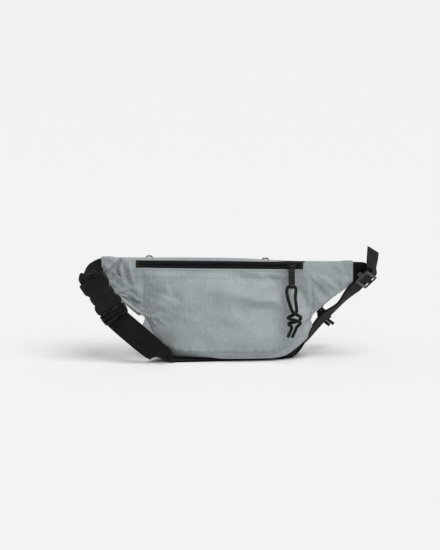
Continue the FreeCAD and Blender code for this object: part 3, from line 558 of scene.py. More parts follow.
def shell_mesh():
    """Both panels and the gusset as one closed skin, marked by part, with flat-pattern UVs."""
    columns = seam_columns()
    build = bmesh.new()
    uv = build.loops.layers.uv.new("UVMap")
    part = build.faces.layers.int.new("part")
    grids = {}
    for name, spec in ZIPS.items():
        grid = []
        for x in columns:
            column = []
            for z in row_heights(x, name):
                y = middle_depth(z) + spec["side"] * half_depth(x, z)
                column.append(build.verts.new(at(x, y, z)))
            grid.append(column)
        grids[name] = grid
    gusset = []
    inside = [i for i, x in enumerate(columns) if abs(x) < GUSSET_REACH]
    for i in inside:
        x = columns[i]
        out, depth, z = seam_outward(x), base_half_depth(x), lower_height(x)
        swell = gusset_swell(x)
        line = []
        for step in range(1, GUSSET_ROWS):
            across = math.sin(math.pi / 2 * (2 * step / GUSSET_ROWS - 1))
            lift = out * (swell * (1 - across ** 4))
            line.append(build.verts.new(at(x + lift.x, middle_depth(z) + depth * across, z + lift.z)))
        gusset.append([grids["front"][i][-1]] + line + [grids["back"][i][-1]])

    def add_faces(grid, kind, place, flip):
        for i in range(len(grid) - 1):
            for j in range(len(grid[i]) - 1):
                corners = [grid[i][j], grid[i][j + 1], grid[i + 1][j + 1], grid[i + 1][j]]
                spots = [place(i, j), place(i, j + 1), place(i + 1, j + 1), place(i + 1, j)]
                if flip:
                    corners.reverse()
                    spots.reverse()
                face = build.faces.new(corners)
                face[part] = PARTS[kind]
                for loop, spot in zip(face.loops, spots):
                    loop[uv].uv = spot

    for name, grid in grids.items():
        fall = []
        for column in grid:
            total = [0.0]
            for before, here in zip(column, column[1:]):
                total.append(total[-1] + (here.co - before.co).length)
            fall.append(total)
        add_faces(grid, name, lambda i, j: (columns[i] * MM, -fall[i][j]), name == "back")
    run = [0.0]
    for before, here in zip(inside, inside[1:]):
        start, end = columns[before], columns[here]
        run.append(run[-1] + math.hypot(end - start, lower_height(end) - lower_height(start)) * MM)
    depths = [base_half_depth(columns[i]) * MM for i in inside]
    add_faces(gusset, "gusset", lambda i, j: (run[i], depths[i] * (2 * j / GUSSET_ROWS - 1)), False)
    pairs = {}
    for i, (front, back) in enumerate(zip(grids["front"], grids["back"])):
        if abs(columns[i]) <= TOP_SEWN_TO:
            pairs[back[0]] = front[0]
        if GUSSET_REACH - 1 <= abs(columns[i]) < BOTTOM_SEWN_TO:
            pairs[back[-1]] = front[-1]
    for back, front in pairs.items():
        middle = (back.co + front.co) / 2
        back.co = front.co = middle
    bmesh.ops.weld_verts(build, targetmap=pairs)
    bmesh.ops.recalc_face_normals(build, faces=build.faces)
    return mesh_of(build, "shell")


def in_bag(point):
    """A point of the pack's frame, back in the bag's own millimetres."""
    return (point - HOME) / MM


def settle_shell(mesh):
    """Cloth simulation: a little air inside, the seams gathered, the zips' band and the wings held."""
    frames, most_move = 18, 7
    holder = linked("shell", mesh)
    held = holder.vertex_groups.new(name="held")
    gathered = holder.vertex_groups.new(name="gathered")
    start = [vertex.co.copy() for vertex in mesh.vertices]
    for vertex in mesh.vertices:
        x, _, z = in_bag(vertex.co)
        band = blend(z, 108, 113)
        wing = blend(abs(x), 138, 150)
        floor = blend(6 - z, 0, 2)
        held.add([vertex.index], max(band, wing, floor), "REPLACE")
        gathered.add([vertex.index], 1 - blend(abs(z - lower_height(x)), 2, 12), "REPLACE")
    cloth = holder.modifiers.new("cloth", "CLOTH")
    settings = cloth.settings
    settings.quality = 6
    settings.mass = 0.12
    settings.tension_stiffness = 25
    settings.compression_stiffness = 25
    settings.shear_stiffness = 12
    settings.bending_stiffness = 0.12
    settings.use_pressure = True
    settings.uniform_pressure_force = 2.0
    settings.vertex_group_mass = "held"
    settings.vertex_group_shrink = "gathered"
    settings.shrink_min = -0.02
    settings.shrink_max = 0.07
    settings.effector_weights.gravity = 0
    cloth.collision_settings.use_collision = False
    for number in range(1, frames + 1):
        bpy.context.scene.frame_set(number)
    bake_modifiers(holder)
    bpy.context.scene.frame_set(1)
    for vertex, home in zip(holder.data.vertices, start):
        moved = vertex.co - home
        if moved.length > most_move * MM:
            vertex.co = home + moved.normalized() * most_move * MM
    mesh = holder.data
    bpy.data.objects.remove(holder)
    return mesh


def crease(x, z, start, end, wide):
    """1 on a line between two points, falling off to 0 over its width, and tapered at its ends."""
    run = Vector(end) - Vector(start)
    along = (Vector((x, z)) - Vector(start)).dot(run) / run.length_squared
    if along < -0.15 or along > 1.15:
        return 0.0
    away = abs((Vector((x, z)) - Vector(start)).cross(run)) / run.length
    taper = blend(along, -0.15, 0.2) * (1 - blend(along, 0.8, 1.15))
    return math.exp(-(away / wide) ** 2) * taper


# Soft folds of the front panel: (from, to, half width, height), in millimetres, seen from the front.
FRONT_FOLDS = [
    ((-136, 130), (-142, 115), 1.8, -5.0), ((-142, 115), (-138, 106), 1.8, -4.0),
    ((-139, 129), (-156, 113), 2.2, 3.0), ((-134, 124), (-128, 97), 2.6, -2.8),
    ((-126, 126), (-121, 98), 2.6, 2.2), ((-146, 110), (-150, 100), 2.6, -1.8),
    ((-134, 124), (-131, 96), 4.0, 1.3), ((-126, 112), (-124, 70), 6.0, -1.6),
    ((-112, 104), (-118, 60), 7.0, 1.4), ((-100, 96), (-108, 50), 8.0, -1.2),
    ((88, 112), (100, 60), 8.0, -1.3), ((104, 112), (112, 74), 7.0, 1.0),
    ((128, 122), (150, 102), 5.0, -0.9), ((96, 44), (70, 18), 5.0, -1.4),
    ((60, 34), (20, 22), 8.0, 0.9), ((-20, 26), (-62, 30), 8.0, -0.9),
    ((-60, 50), (-84, 26), 7.0, 1.2), ((112, 70), (100, 52), 3.0, -1.6),
]


def fold_shell(mesh):
    """Adds the panel's listed folds, small puckers along its seams, and the wing's turned corner."""
    for vertex in mesh.vertices:
        x, y, z = in_bag(vertex.co)
        front = y < middle_depth(z)
        side = -1 if front else 1
        push = 0.0
        from_seam = max(z - lower_height(x), 0)
        from_top = max(top_height(x) - z, 0)
        edge_hold = blend(from_seam, 0, 3) * blend(from_top, 16, 24)
        if front:
            for start, end, wide, tall in FRONT_FOLDS:
                push += tall * crease(x, z, start, end, wide) * blend(from_seam, 0, 2)
        soft = noise.noise(Vector((x / 22, z / 30, 3.0 + side)))
        broad = noise.noise(Vector((x / 46, z / 24, 11.0 + side)))
        push += (1.2 * soft + 2.2 * broad) * edge_hold
        groove = math.exp(-((z - lower_height(x) - 1.2) / 1.8) ** 2)
        push -= 1.9 * groove * blend(GUSSET_REACH - abs(x), 0, 8)
        pucker = math.sin(x / 1.9 + 2.2 * noise.noise(Vector((x / 9, z / 20, 7.0))))
        push += 0.45 * pucker * (1 - blend(from_seam, 3, 13)) * blend(from_seam, 0, 1.5)
        wing_pucker = math.sin(x / 2.6 + z / 5 + 3 * noise.noise(Vector((x / 12, z / 12, 1.0))))
        push += 0.4 * wing_pucker * blend(abs(x), 118, 150) * blend(from_top, 2, 8)
        if z > 6:
            vertex.co.y += side * push * MM


def finer_mesh(mesh):
    """The same skin with four faces in place of each one, so that it takes sharper folds."""
    holder = linked("finer", mesh)
    smooth = holder.modifiers.new("smooth", "SUBSURF")
    smooth.levels = smooth.render_levels = 1
    bake_modifiers(holder)
    mesh = holder.data
    bpy.data.objects.remove(holder)
    return mesh


def cut_sheet(mesh, name, keep, inset=0.0):
    """The skin's faces that a test of part and place keeps, moved inwards, as a mesh of their own."""
    build = bmesh.new()
    build.from_mesh(mesh)
    part = build.faces.layers.int["part"]
    drop = [face for face in build.faces if not keep(face[part], in_bag(face.calc_center_median()))]
    bmesh.ops.delete(build, geom=drop, context="FACES")
    if inset:
        build.normal_update()
        for vertex in build.verts:
            vertex.co -= vertex.normal * inset * MM
    return mesh_of(build, name)


def sewn_piece(name, sheet, material, thick, node):
    """A sheet of the bag with its fabric's thickness, in place of a CAD node."""
    piece = new_object(name, sheet, material, None)
    solid = piece.modifiers.new("thick", "SOLIDIFY")
    solid.thickness = thick * MM
    solid.offset = -1
    bake_modifiers(piece)
    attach(piece, "bag")
    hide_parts(node)


def in_window(name, spot):
    """Whether a place on a panel is in its zip's opening."""
    across = abs(spot.x - ZIPS[name]["middle"]) < ZIP_LONG / 2
    return across and abs(spot.z - zip_line(spot.x, name)) < ZIP_HALF_WINDOW - 0.3


def on_binding(spot):
    """Whether a place on a panel is where its seam's binding lies."""
    return abs(spot.x) <= GUSSET_REACH - 4 and 0 < spot.z - lower_height(spot.x) < BINDING_WIDE


def split_shell(mesh):
    """The panels, the gusset, and the folded tapes that cover the seams' raw edges inside."""
    for side in ZIPS:
        kind = PARTS[side]
        panel = cut_sheet(mesh, side, lambda part, spot: part == kind and not in_window(side, spot))
        sewn_piece(side + "_panel_cloth", panel, FABRIC, FABRIC_THICK, side + "_panel")
    gusset = cut_sheet(mesh, "gusset", lambda part, spot: part == PARTS["gusset"])
    sewn_piece("bottom_gusset_cloth", gusset, FABRIC, FABRIC_THICK, "bottom_gusset")
    for side in ZIPS:
        kind, node = PARTS[side], side + "_seam_binding"
        tape = cut_sheet(mesh, side, lambda part, spot: part == kind and on_binding(spot), BINDING_INSET)
        sewn_piece(side + "_seam_tape", tape, LINING, BINDING_THICK, node)


def build_shell():
    mesh = shell_mesh()
    mesh = settle_shell(mesh)
    mesh = finer_mesh(mesh)
    fold_shell(mesh)
    split_shell(mesh)


build_shell()

# ---------------------------------------------------------------- webbing


def smooth_stations(stations, steps=8):
    """A curve through given stations of centre and across direction, in metres."""
    result, last = [], len(stations) - 1
    for i in range(last):
        picked = [stations[max(i - 1, 0)], stations[i], stations[i + 1], stations[min(i + 2, last)]]
        for step in range(steps + (i == last - 1)):
            t = step / steps
            weights = [(-t + 2 * t ** 2 - t ** 3) / 2, (2 - 5 * t ** 2 + 3 * t ** 3) / 2,
                       (t + 4 * t ** 2 - 3 * t ** 3) / 2, (t ** 3 - t ** 2) / 2]
            centre, across = Vector(), Vector()
            for weight, (point, direction) in zip(weights, picked):
                centre += point * weight
                across += Vector(direction) * weight
            result.append((centre, across.normalized()))
    return result


def section_frames(stations):
    """Each station with its across and face directions, square to its run."""
    frames = []
    for i, (centre, across) in enumerate(stations):
        run = stations[min(i + 1, len(stations) - 1)][0] - stations[max(i - 1, 0)][0]
        run.normalize()
        side = (across - run * across.dot(run)).normalized()
        frames.append((centre, side, run.cross(side).normalized()))
    return frames


def moved_layer(stations, distance):
    """The same run, moved along its face direction: one layer of doubled webbing."""
    return [(centre + face * distance, side) for centre, side, face in section_frames(stations)]


def ribbon_outline(half, edge, steps=12):
    """Webbing's section: two flat faces and two rounded edges."""
    outline = []
    for side in (1, -1):
        for i in range(steps + 1):
            outline.append((side * (-half + edge + 2 * (half - edge) * i / steps), side * edge))
        for angle in (45, 0, -45):
            turn = math.radians(angle)
            outline.append((side * (half - edge + edge * math.cos(turn)), side * edge * math.sin(turn)))
    return outline


def ribbon_piece(name, stations, wide, thick, slant=0.0, floor=None):
    """Webbing swept along its stations, with UVs in metres; its last end may be cut at a slant."""
    half = wide / 2 * MM
    outline = ribbon_outline(half, thick / 2 * MM)
    build = bmesh.new()
    uv = build.loops.layers.uv.new("UVMap")
    rings, marks, gone = [], [], 0.0
    frames = section_frames(stations)
    for i, (centre, side, face) in enumerate(frames):
        if i:
            gone += (centre - frames[i - 1][0]).length
        left = (frames[-1][0] - centre).length
        ring, mark = [], []
        for across, up in outline:
            back = max(slant * MM * (0.5 + across / half / 2) - left, 0.0)
            point = centre + side * across + face * up - side.cross(face) * back
            if floor is not None:
                point.z = max(point.z, floor)
            ring.append(build.verts.new(point))
            mark.append((across + up * 0.5, gone - back))
        rings.append(ring)
        marks.append(mark)
    count = len(outline)
    for i in range(len(rings) - 1):
        for j in range(count):
            k = (j + 1) % count
            face = build.faces.new((rings[i][j], rings[i][k], rings[i + 1][k], rings[i + 1][j]))
            for loop, spot in zip(face.loops, (marks[i][j], marks[i][k], marks[i + 1][k], marks[i + 1][j])):
                loop[uv].uv = spot
    for ring in (rings[0], rings[-1]):
        build.faces.new(ring)
    bmesh.ops.recalc_face_normals(build, faces=build.faces)
    return new_object(name, mesh_of(build, name), WEBBING, None)


def placed(points):
    """Stations given in the bag's own millimetres, in metres in the pack's frame."""
    return [(at(*point), Vector(across)) for point, across in points]


# The buckle's frame: x across it, y towards the belt, z out of its face.
BUCKLE_ALONG = Vector(JOINTS["buckle_release"]["axis"])
BUCKLE_OUT = Vector(JOINTS["latch_left_press"]["axis"])
BUCKLE_ACROSS = BUCKLE_ALONG.cross(BUCKLE_OUT)
BUCKLE = own_frame(at(-155, -13, 79.5), BUCKLE_ACROSS, BUCKLE_ALONG)
HOUSING_BAR = (-30.4, -27.0)
MALE_BAR = (18.2, 21.6)

# The tri-glide's frame, in the same manner; z points away from the viewer's side.
GLIDE_ALONG = Vector(JOINTS["glide_adjust"]["axis"])
GLIDE_ACROSS = Vector((0.406, 0.832, -0.376))
GLIDE_ACROSS = (GLIDE_ACROSS - GLIDE_ALONG * GLIDE_ACROSS.dot(GLIDE_ALONG)).normalized()
GLIDE = own_frame(at(177, 15, 102.7), GLIDE_ACROSS, GLIDE_ALONG)
# From the middle of doubled webbing to the middle of either layer.
LAYER = 0.75


def in_buckle(y, z=0.0):
    """A webbing station on the buckle's middle line."""
    return BUCKLE @ Vector((0, y, z)), BUCKLE_ACROSS


def in_glide(y, z=0.0):
    """A webbing station on the tri-glide's middle line."""
    return GLIDE @ Vector((0, y, z)), GLIDE_ACROSS


def round_bar(bar, side, steps=8):
    """The half turn of webbing round one of the buckle's bars, from its face side to its back."""
    middle, reach, rise = sum(bar) / 2, 2.9, 2.5
    turn = []
    for i in range(steps + 1):
        angle = math.pi / 2 - math.pi * i / steps
        turn.append(in_buckle(middle + side * reach * math.cos(angle), rise * math.sin(angle)))
    return turn


def both_layers(run):
    """Doubled webbing that runs to the buckle: its layer in front, and the one behind on its way back."""
    outward = math.copysign(LAYER * MM, section_frames(run)[-1][2].dot(BUCKLE_OUT))
    return moved_layer(run, outward), moved_layer(run, -outward)[::-1]


def anchor_pieces():
    """From the left wing's seam down to the housing's bar, round it, and back up to where it is sewn."""
    run = placed([((-150, 9.8, 115), (0, 0, 1)), ((-158, 9.6, 115), (0, 0, 1)),
                  ((-165.5, 5, 115), (-0.55, 0.6, 0.58)), ((-171, -1, 113), (-0.85, 0.5, -0.05))])
    down = smooth_stations(run + [in_buckle(-37), in_buckle(-33.5)], 10)
    front, back = both_layers(down)
    loop = [in_buckle(-32, 1.6), in_buckle(-30, 2.4)] + round_bar(HOUSING_BAR, 1)
    loop += [in_buckle(-30, -2.4), in_buckle(-32, -1.6)]
    sewn_part = 30
    ribbon = ribbon_piece("anchor_strap", front + loop + back[:-sewn_part], wide=29.6, thick=1.2)
    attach(ribbon, "bag")
    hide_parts("left_anchor_webbing")


def belt_pieces():
    """The doubled belt from the glide, under the bag, to the insert's bar; its wing strap and tail."""
    lift, level = 1.5, (0, 1, 0)
    run = [in_glide(-12), in_glide(-5), in_glide(0, -0.7), in_glide(5), in_glide(12), in_glide(22)]
    run += placed([((146.5, 22, 69.5), (0.2, 0.95, -0.22)), ((127, 26, 52), (0.3, 0.89, -0.34)),
                   ((113, 24, 36), (0.26, 0.92, -0.3)), ((100, 19, 18), (0.12, 0.98, -0.12)),
                   ((87, 17.5, 5.5), level), ((72, 15, lift), level),
                   ((60, 13, lift), level), ((40, 8, lift), level), ((-40, -3.5, lift), level),
                   ((-70, -7, lift), level), ((-80.5, -15.5, 4.6), (0, 0.95, -0.3)),
                   ((-86, -27, 13.2), (0, 0.64, -0.77)), ((-94, -29, 19.3), (-0.34, 0.17, -0.92)),
                   ((-115, -29, 37), (-0.56, -0.05, -0.82))])
    band = smooth_stations(run + [in_buckle(29.6), in_buckle(25)], 7)
    front, back = both_layers(band)
    loop = [in_buckle(23.5, 1.8)] + round_bar(MALE_BAR, -1) + [in_buckle(23.5, -1.8)]
    belt = ribbon_piece("belt_band", front + loop + back, wide=30, thick=1.25, floor=0.0)
    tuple(in_buckle(31)[0])
    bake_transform(belt)
    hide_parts("belt_webbing")
    strap = placed([((151, 9.8, 111.3), (0, 0, -1)), ((162, 9.8, 111.3), (0, 0, -1)),
                    ((169, 12, 112.5), (0.1, 0.45, -0.89)), ((177, 15.5, 113), (0.34, 0.8, -0.5))])
    strap = smooth_stations(strap + [in_glide(-13, 1.0), in_glide(-8, 0.8)])
    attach(ribbon_piece("wing_strap", strap, wide=28, thick=1.3), "bag")
    tail = placed([((185.6, 15, 119), (0.5, 0.84, -0.2)), ((186.4, 14.2, 131), (0.56, 0.82, -0.1)),
                   ((187.2, 13.5, 147), (0.56, 0.82, -0.08))])
    tail = smooth_stations([in_glide(-8, -0.8), in_glide(-12.5, -0.6)] + tail)
    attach(ribbon_piece("belt_tail", tail, wide=29.2, thick=1.3, slant=13), "bag")


def lash_loops():
    """Short bent tapes at the top seam, open in the middle."""
    steps, sunk, inset = 16, 2.4 * MM, 0.6 * MM
    for name in ("lash_loop_left", "lash_loop_right"):
        low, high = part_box(name)
        middle = (low + high) / 2
        half = (high.x - low.x) / 2 - inset
        stations = []
        for i in range(steps + 1):
            angle = math.pi * i / steps
            spread = math.copysign(abs(math.cos(angle)) ** 0.6, math.cos(angle))
            rise = math.sin(angle) ** 0.6 * (high.z - low.z + inset)
            centre = Vector((middle.x - half * spread, middle.y, low.z - sunk + rise))
            stations.append((centre, Vector((0, 1, 0))))
        loop = ribbon_piece(name + "_tape", stations, wide=2.8, thick=1.3)
        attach(loop, "bag")
        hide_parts(name)


anchor_pieces()
belt_pieces()
lash_loops()

# ---------------------------------------------------------------- the side-release buckle and the tri-glide


def mirrored(half):
    """A whole outline from its right half, given from one end of the middle line to the other."""
    return half + [(-point[0], *point[1:]) for point in reversed(half)]


def ellipse(radius_x, radius_y, middle=(0, 0), steps=40):
    """An oval or round outline."""
    return [(middle[0] + radius_x * math.cos(2 * math.pi * i / steps),
             middle[1] + radius_y * math.sin(2 * math.pi * i / steps)) for i in range(steps)]


def buckle_housing():
    """Two shaped plates with a collar at the webbing end; the latch windows are open at both sides."""
    half = [(0, -30.2, 9), (9, -30.6, 7), (15.2, -33.4, 1.6), (17.9, -32.2, 2), (17.9, -19, 3),
            (14.3, -14.4, 3), (14.2, -1.2, 4), (17.8, 2.6, 4), (17.8, 9.5, 4), (16.6, 13.1, 1.6),
            (8, 12.3, 6)]
    rim = rounded(mirrored(half), 1.5)
    slot = box_outline(-15.4, 15.4, -27.2, -21.2, 1.2)
    middle = (0, -4)
    parts = [plate_mesh([rim, slot, ellipse(4.6, 9.6, middle)], 2.3, 0.75, BUCKLE, 4.3),
             plate_mesh([ellipse(4.9, 9.9, middle)], 1.2, 0.3, BUCKLE, 3.7),
             plate_mesh([ellipse(5.3, 10.3, middle), ellipse(4.4, 9.4, middle)], 0.6, 0.25, BUCKLE, 5.45),
             plate_mesh([rim, slot], 2.3, 0.75, BUCKLE, -4.3)]
    collar = mirrored([(0, -21), (15.6, -21), (15.6, -30.8), (17.7, -31), (17.7, -17.4), (0, -17.4)])
    parts.append(plate_mesh([rounded(collar, 0.6)], 7.2, 0.3, BUCKLE))
    parts.append(plate_mesh([box_outline(-16, 16, *HOUSING_BAR, 1.2)], 2.8, 1.0, BUCKLE))
    for y in (-18.4, -16.8):
        parts.append(plate_mesh([box_outline(-12.2, 12.2, y - 0.35, y + 0.35, 0.3)], 0.5, 0.2, BUCKLE, 5.5))
    mesh = join_meshes("buckle_housing", parts)
    housing = new_object("buckle_housing", mesh, PLASTIC, "bag")
    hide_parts("buckle_female")


def buckle_insert():
    """The belt's half: shoulders, three plugs, the webbing bar, the end bar in front, and the tongue."""
    half = [(0, 14.3), (16.5, 14.3), (17.9, 16.4), (17.9, 24), (16.2, 28.6), (0, 28.6)]
    rim = rounded(mirrored(half), 1.2)
    openings = [box_outline(-15.4, 15.4, 16.5, 18.1, 0.7), box_outline(-15.4, 15.4, 21.7, 23.7, 0.8)]
    rails = mirrored([(0, 14.2), (17.7, 14.2), (17.7, 23.6), (15.6, 23.6), (15.6, 16.3), (0, 16.3)])
    end_bar = mirrored([(0, 24), (17.5, 23.6), (16.6, 28.5), (0, 28.9)])
    tongue = mirrored([(0, 8), (3, 8), (1.9, -6), (1.2, -11), (0, -11.2)])
    parts = [plate_mesh([rim] + openings, 2.8, 0.9, BUCKLE),
             plate_mesh([rounded(rails, 0.6)], 7.8, 0.9, BUCKLE)]
    for low, high in ((-16, -11.9), (-7.6, 7.6), (11.9, 16)):
        parts.append(plate_mesh([box_outline(low, high, 9, 15, 0.6)], 5.6, 0.5, BUCKLE))
    parts.append(plate_mesh([rounded(end_bar, 1.4)], 2.5, 1.1, BUCKLE, 2.9))
    parts.append(plate_mesh([rounded(tongue, 0.8)], 3.2, 0.8, BUCKLE))
    mesh = join_meshes("buckle_insert", parts)
    insert = new_object("buckle_insert_piece", mesh, PLASTIC, "buckle_insert")
    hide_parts("buckle_male")


def latch_arms():
    """The two springy arms with rounded, ribbed buttons that fill the housing's side windows."""
    for side, name in ((1, "right"), (-1, "left")):
        half = [(8.0, 14.2), (7.9, -6), (9.2, -13.8), (12.8, -14.9), (15.4, -12.6), (16.3, -7.5),
                (15.7, -2.2), (13.2, 0.8), (11.6, 1.4), (11.6, 14.2)]
        outline = rounded([(side * x, y) for x, y in half][::side], 1.4)
        parts = [plate_mesh([outline], 4.9, 0.9, BUCKLE)]
        low, high = sorted((side * 13.2, side * 16.6))
        for y in (-11.5, -9.0, -6.5, -4.0):
            parts.append(plate_mesh([box_outline(low, high, y - 0.45, y + 0.45, 0.3)], 3.6, 0.25, BUCKLE))
        mesh = join_meshes("arm_" + name, parts)
        arm = new_object("latch_%s_piece" % name, mesh, PLASTIC, "latch_" + name)
        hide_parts("latch_arm_" + name)


def glide_piece():
    """A flat frame in front of the webbing, with the middle bar behind it on two raised ends."""
    front, behind = -2.65, 2.65
    frame_outlines = [box_outline(-19, 19, -10.6, 10.6, 2.8), box_outline(-15.8, 15.8, -7.0, 7.0, 1.0)]
    parts = [plate_mesh(frame_outlines, 1.9, 0.75, GLIDE, front),
             plate_mesh([box_outline(-18.4, 18.4, -1.8, 1.8, 0.8)], 1.8, 0.7, GLIDE, behind)]
    for side in (-1, 1):
        low, high = sorted((side * 16.0, side * 18.9))
        parts.append(plate_mesh([box_outline(low, high, -2.9, 2.9, 0.8)], 7.0, 0.6, GLIDE))
    mesh = join_meshes("glide_piece", parts)
    glide = new_object("glide_piece", mesh, GLIDE_PLASTIC, "glide")
    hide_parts("tri_glide")


buckle_housing()
buckle_insert()
latch_arms()
glide_piece()

# ---------------------------------------------------------------- zips

def chain_frame(name, origin):
    """x along the zip, y into the bag, z up across it."""
    turn = -ZIPS[name]["side"]
    x_axis = Vector((math.cos(ZIP_TILT) * turn, 0, -math.sin(ZIP_TILT) * turn))
    return own_frame(origin, x_axis, Vector((0, turn, 0)))


def laid_flat(place):
    """A frame whose plates lie in the zip's own plane."""
    return place @ Matrix.Rotation(QUARTER_TURN, 4, "X")


def half_tape(name, row, place):
    """One woven tape, its inner edge under the coil and its outer edge sewn behind the fabric."""
    sign, wide = (1, 4.8) if row == "upper" else (-1, 6.4)
    low, high = sorted((sign * 0.6, sign * (0.6 + wide)))
    outline = box_outline(-ZIP_LONG / 2 - 2, ZIP_LONG / 2 + 2, low, high, 0.1)
    mesh = plate_mesh([outline], 0.5, 0.15, laid_flat(place), -1.5)
    tape = new_object("%s_tape_%s" % (name, row), mesh, TAPE, "bag")
    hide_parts("%s_zip_tape_%s" % (name, row))


def coil_row(name, row, place):
    """A row of nylon coil: one bent tooth after another, each reaching the middle line."""
    sign = 1 if row == "upper" else -1
    pitch, length, wire = 1.5, ZIP_LONG - 10, 0.42
    build = bmesh.new()
    for i in range(int(length / pitch)):
        x = -length / 2 + pitch * (i + (0.5 if row == "upper" else 1.0))
        path = [(x - 0.3, 1.0, sign * 2.7), (x - 0.15, -0.55, sign * 2.4), (x, -0.62, sign * 1.4),
                (x + 0.15, -0.5, sign * 0.75), (x + 0.2, 0.3, sign * 0.62), (x + 0.3, 0.9, sign * 1.2)]
        sections = []
        for step, centre in enumerate(path):
            ahead, behind = path[min(step + 1, len(path) - 1)], path[max(step - 1, 0)]
            run = (Vector(ahead) - Vector(behind)).normalized()
            side = run.cross(Vector((1, 0, 0))).normalized()
            sections.append((Vector(centre), side, run.cross(side)))
        add_tube(build, sections, wire)
    bmesh.ops.recalc_face_normals(build, faces=build.faces)
    mesh = mesh_of(build, "%s_coil_%s" % (name, row))
    mesh.transform(place)
    coil = new_object("%s_coil_%s" % (name, row), mesh, COIL, "bag")
    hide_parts("%s_zip_coil_%s" % (name, row))


def zip_stop(name, end, place):
    """A folded end cover over both rows of coil."""
    x = (1 if end == "right" else -1) * (ZIP_LONG / 2 - 1.9)
    turned = laid_flat(place @ Matrix.Translation((x, 0, 0)))
    mesh = plate_mesh([box_outline(-1.7, 1.7, -4.3, 4.3, 0.8)], 1.9, 0.5, turned, -0.1)
    stop = new_object("%s_stop_%s" % (name, end), mesh, COIL, "bag")
    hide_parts("%s_zip_stop_%s" % (name, end))


def zip_slider(name):
    """A tapered slider: two plates joined by a post, side flanges and an arched bridge."""
    place = chain_frame(name, Vector(JOINTS[name + "_pull_swing"]["pos_m"]))
    flat = laid_flat(place)
    rim = rounded([(-5.6, -3.0), (-2.5, -3.3), (2.5, -4.2), (5.9, -3.7), (5.9, 3.7), (2.5, 4.2),
                   (-2.5, 3.3), (-5.6, 3.0)], 1.6)
    front, back = -2.95, -7.5
    parts = [plate_mesh([rim], 1.2, 0.4, flat, front), plate_mesh([rim], 1.2, 0.4, flat, back),
             plate_mesh([box_outline(-5.4, 5.6, -0.35, 0.35, 0.1)], 3.8, 0.05, flat, (front + back) / 2)]
    for sign in (-1, 1):
        flange = [(-4.6, sign * 2.6), (5.0, sign * 3.3), (5.0, sign * 4.1), (-4.6, sign * 3.4)][::sign]
        parts.append(plate_mesh([rounded(flange, 0.3)], 1.3, 0.2, flat, front - 0.8))
    rise = [(4.1, 2.9, 0), (4.1, 1.2, 0), (3.4, 0.1, 0), (1.5, 0, 0)]
    bridge = curve_mesh(round_curve("bridge", mirrored(rise)[::-1], 0.75, smooth_round=3, smooth_along=6))
    bridge.transform(place)
    parts.append(bridge)
    mesh = join_meshes(name + "_slider", parts)
    slider = new_object(name + "_slider_piece", mesh, METAL, name + "_slider")
    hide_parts(name + "_zip_slider")


def hanging_frame(name, joint, swing):
    """A pivot, and the frame of what hangs from it: x right, y into the bag, z up the hanging piece."""
    pivot, turn = Vector(JOINTS[name + joint]["pos_m"]), -ZIPS[name]["side"]
    angle = math.radians(swing)
    up = Vector((0, turn * math.sin(angle), math.cos(angle)))
    x_axis = Vector((turn, 0, 0))
    return pivot, own_frame(pivot, x_axis, up.cross(x_axis))


# How far each pull's tab and cord hang away from the upright, in degrees.
HANGS = {"front": {"tab": 19, "cord": 20}, "back": {"tab": 25, "cord": 33}}
TAB_LONG = 26


def pull_tab(name):
    """The pull: an eye round the bridge, a flat bar with a raised rim, and a barrel for the cord."""
    _, place = hanging_frame(name, "_pull_swing", HANGS[name]["tab"])
    flat = laid_flat(place)
    blade = rounded([(-2.6, -4), (-4.0, -6), (-4.0, -23.4), (-2.6, -24.6), (2.6, -24.6), (4.0, -23.4),
                     (4.0, -6), (2.6, -4), (2.3, -1.2), (-2.3, -1.2)], 1.2)
    inner = box_outline(-2.5, 2.5, -20.8, -8.6, 1.2)
    rim = rounded([(-3.9, -6.6), (3.9, -6.6), (3.9, -23), (-3.9, -23)][::-1], 1.4)
    parts = [plate_mesh([blade], 1.4, 0.5, flat), plate_mesh([rim, inner], 2.2, 0.5, flat)]
    for radius, hole, length, z in ((1.7, 0.9, 4.6, 0), (3.3, 2.3, 5, -TAB_LONG)):
        ring = [ellipse(radius, radius, steps=28), ellipse(hole, hole, steps=28)]
        across = place @ Matrix.Translation((0, 0, z)) @ Matrix.Rotation(QUARTER_TURN, 4, "Y")
        parts.append(plate_mesh(ring, length, 0.35, across))
    mesh = join_meshes(name + "_tab", parts)
    tab = new_object(name + "_tab_piece", mesh, METAL, name + "_pull")
    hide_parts(name + "_pull_tab")


CORDS = {"front": {"knot": -43, "tail": (-5.8, -13.5)}, "back": {"knot": -49, "tail": (-9.6, -11)}}
KNOT_HIGH, KNOT_MIDDLE = 16, 3.2
# The knot, from its middle: each half passes in front, round the other and out below, half a turn apart.
KNOTS = {"left": [(3.6, -5.2, 5.4), (9.0, -1.6, 2.0), (5.4, 4.2, -1.6), (-4.0, 5.0, -3.2),
                  (-8.6, 0.6, -5.0)],
         "right": [(-3.6, 5.2, 5.6), (-9.0, 1.2, 2.8), (-5.6, -4.2, -0.2), (3.6, -5.4, -2.2),
                   (8.6, -1.2, -4.8)]}
# How far the back pull's knot and tails swing out behind the belt.
BACK_SWING = Vector((-6.5, 0, -4.5))
CORD_WIDE = 4.2


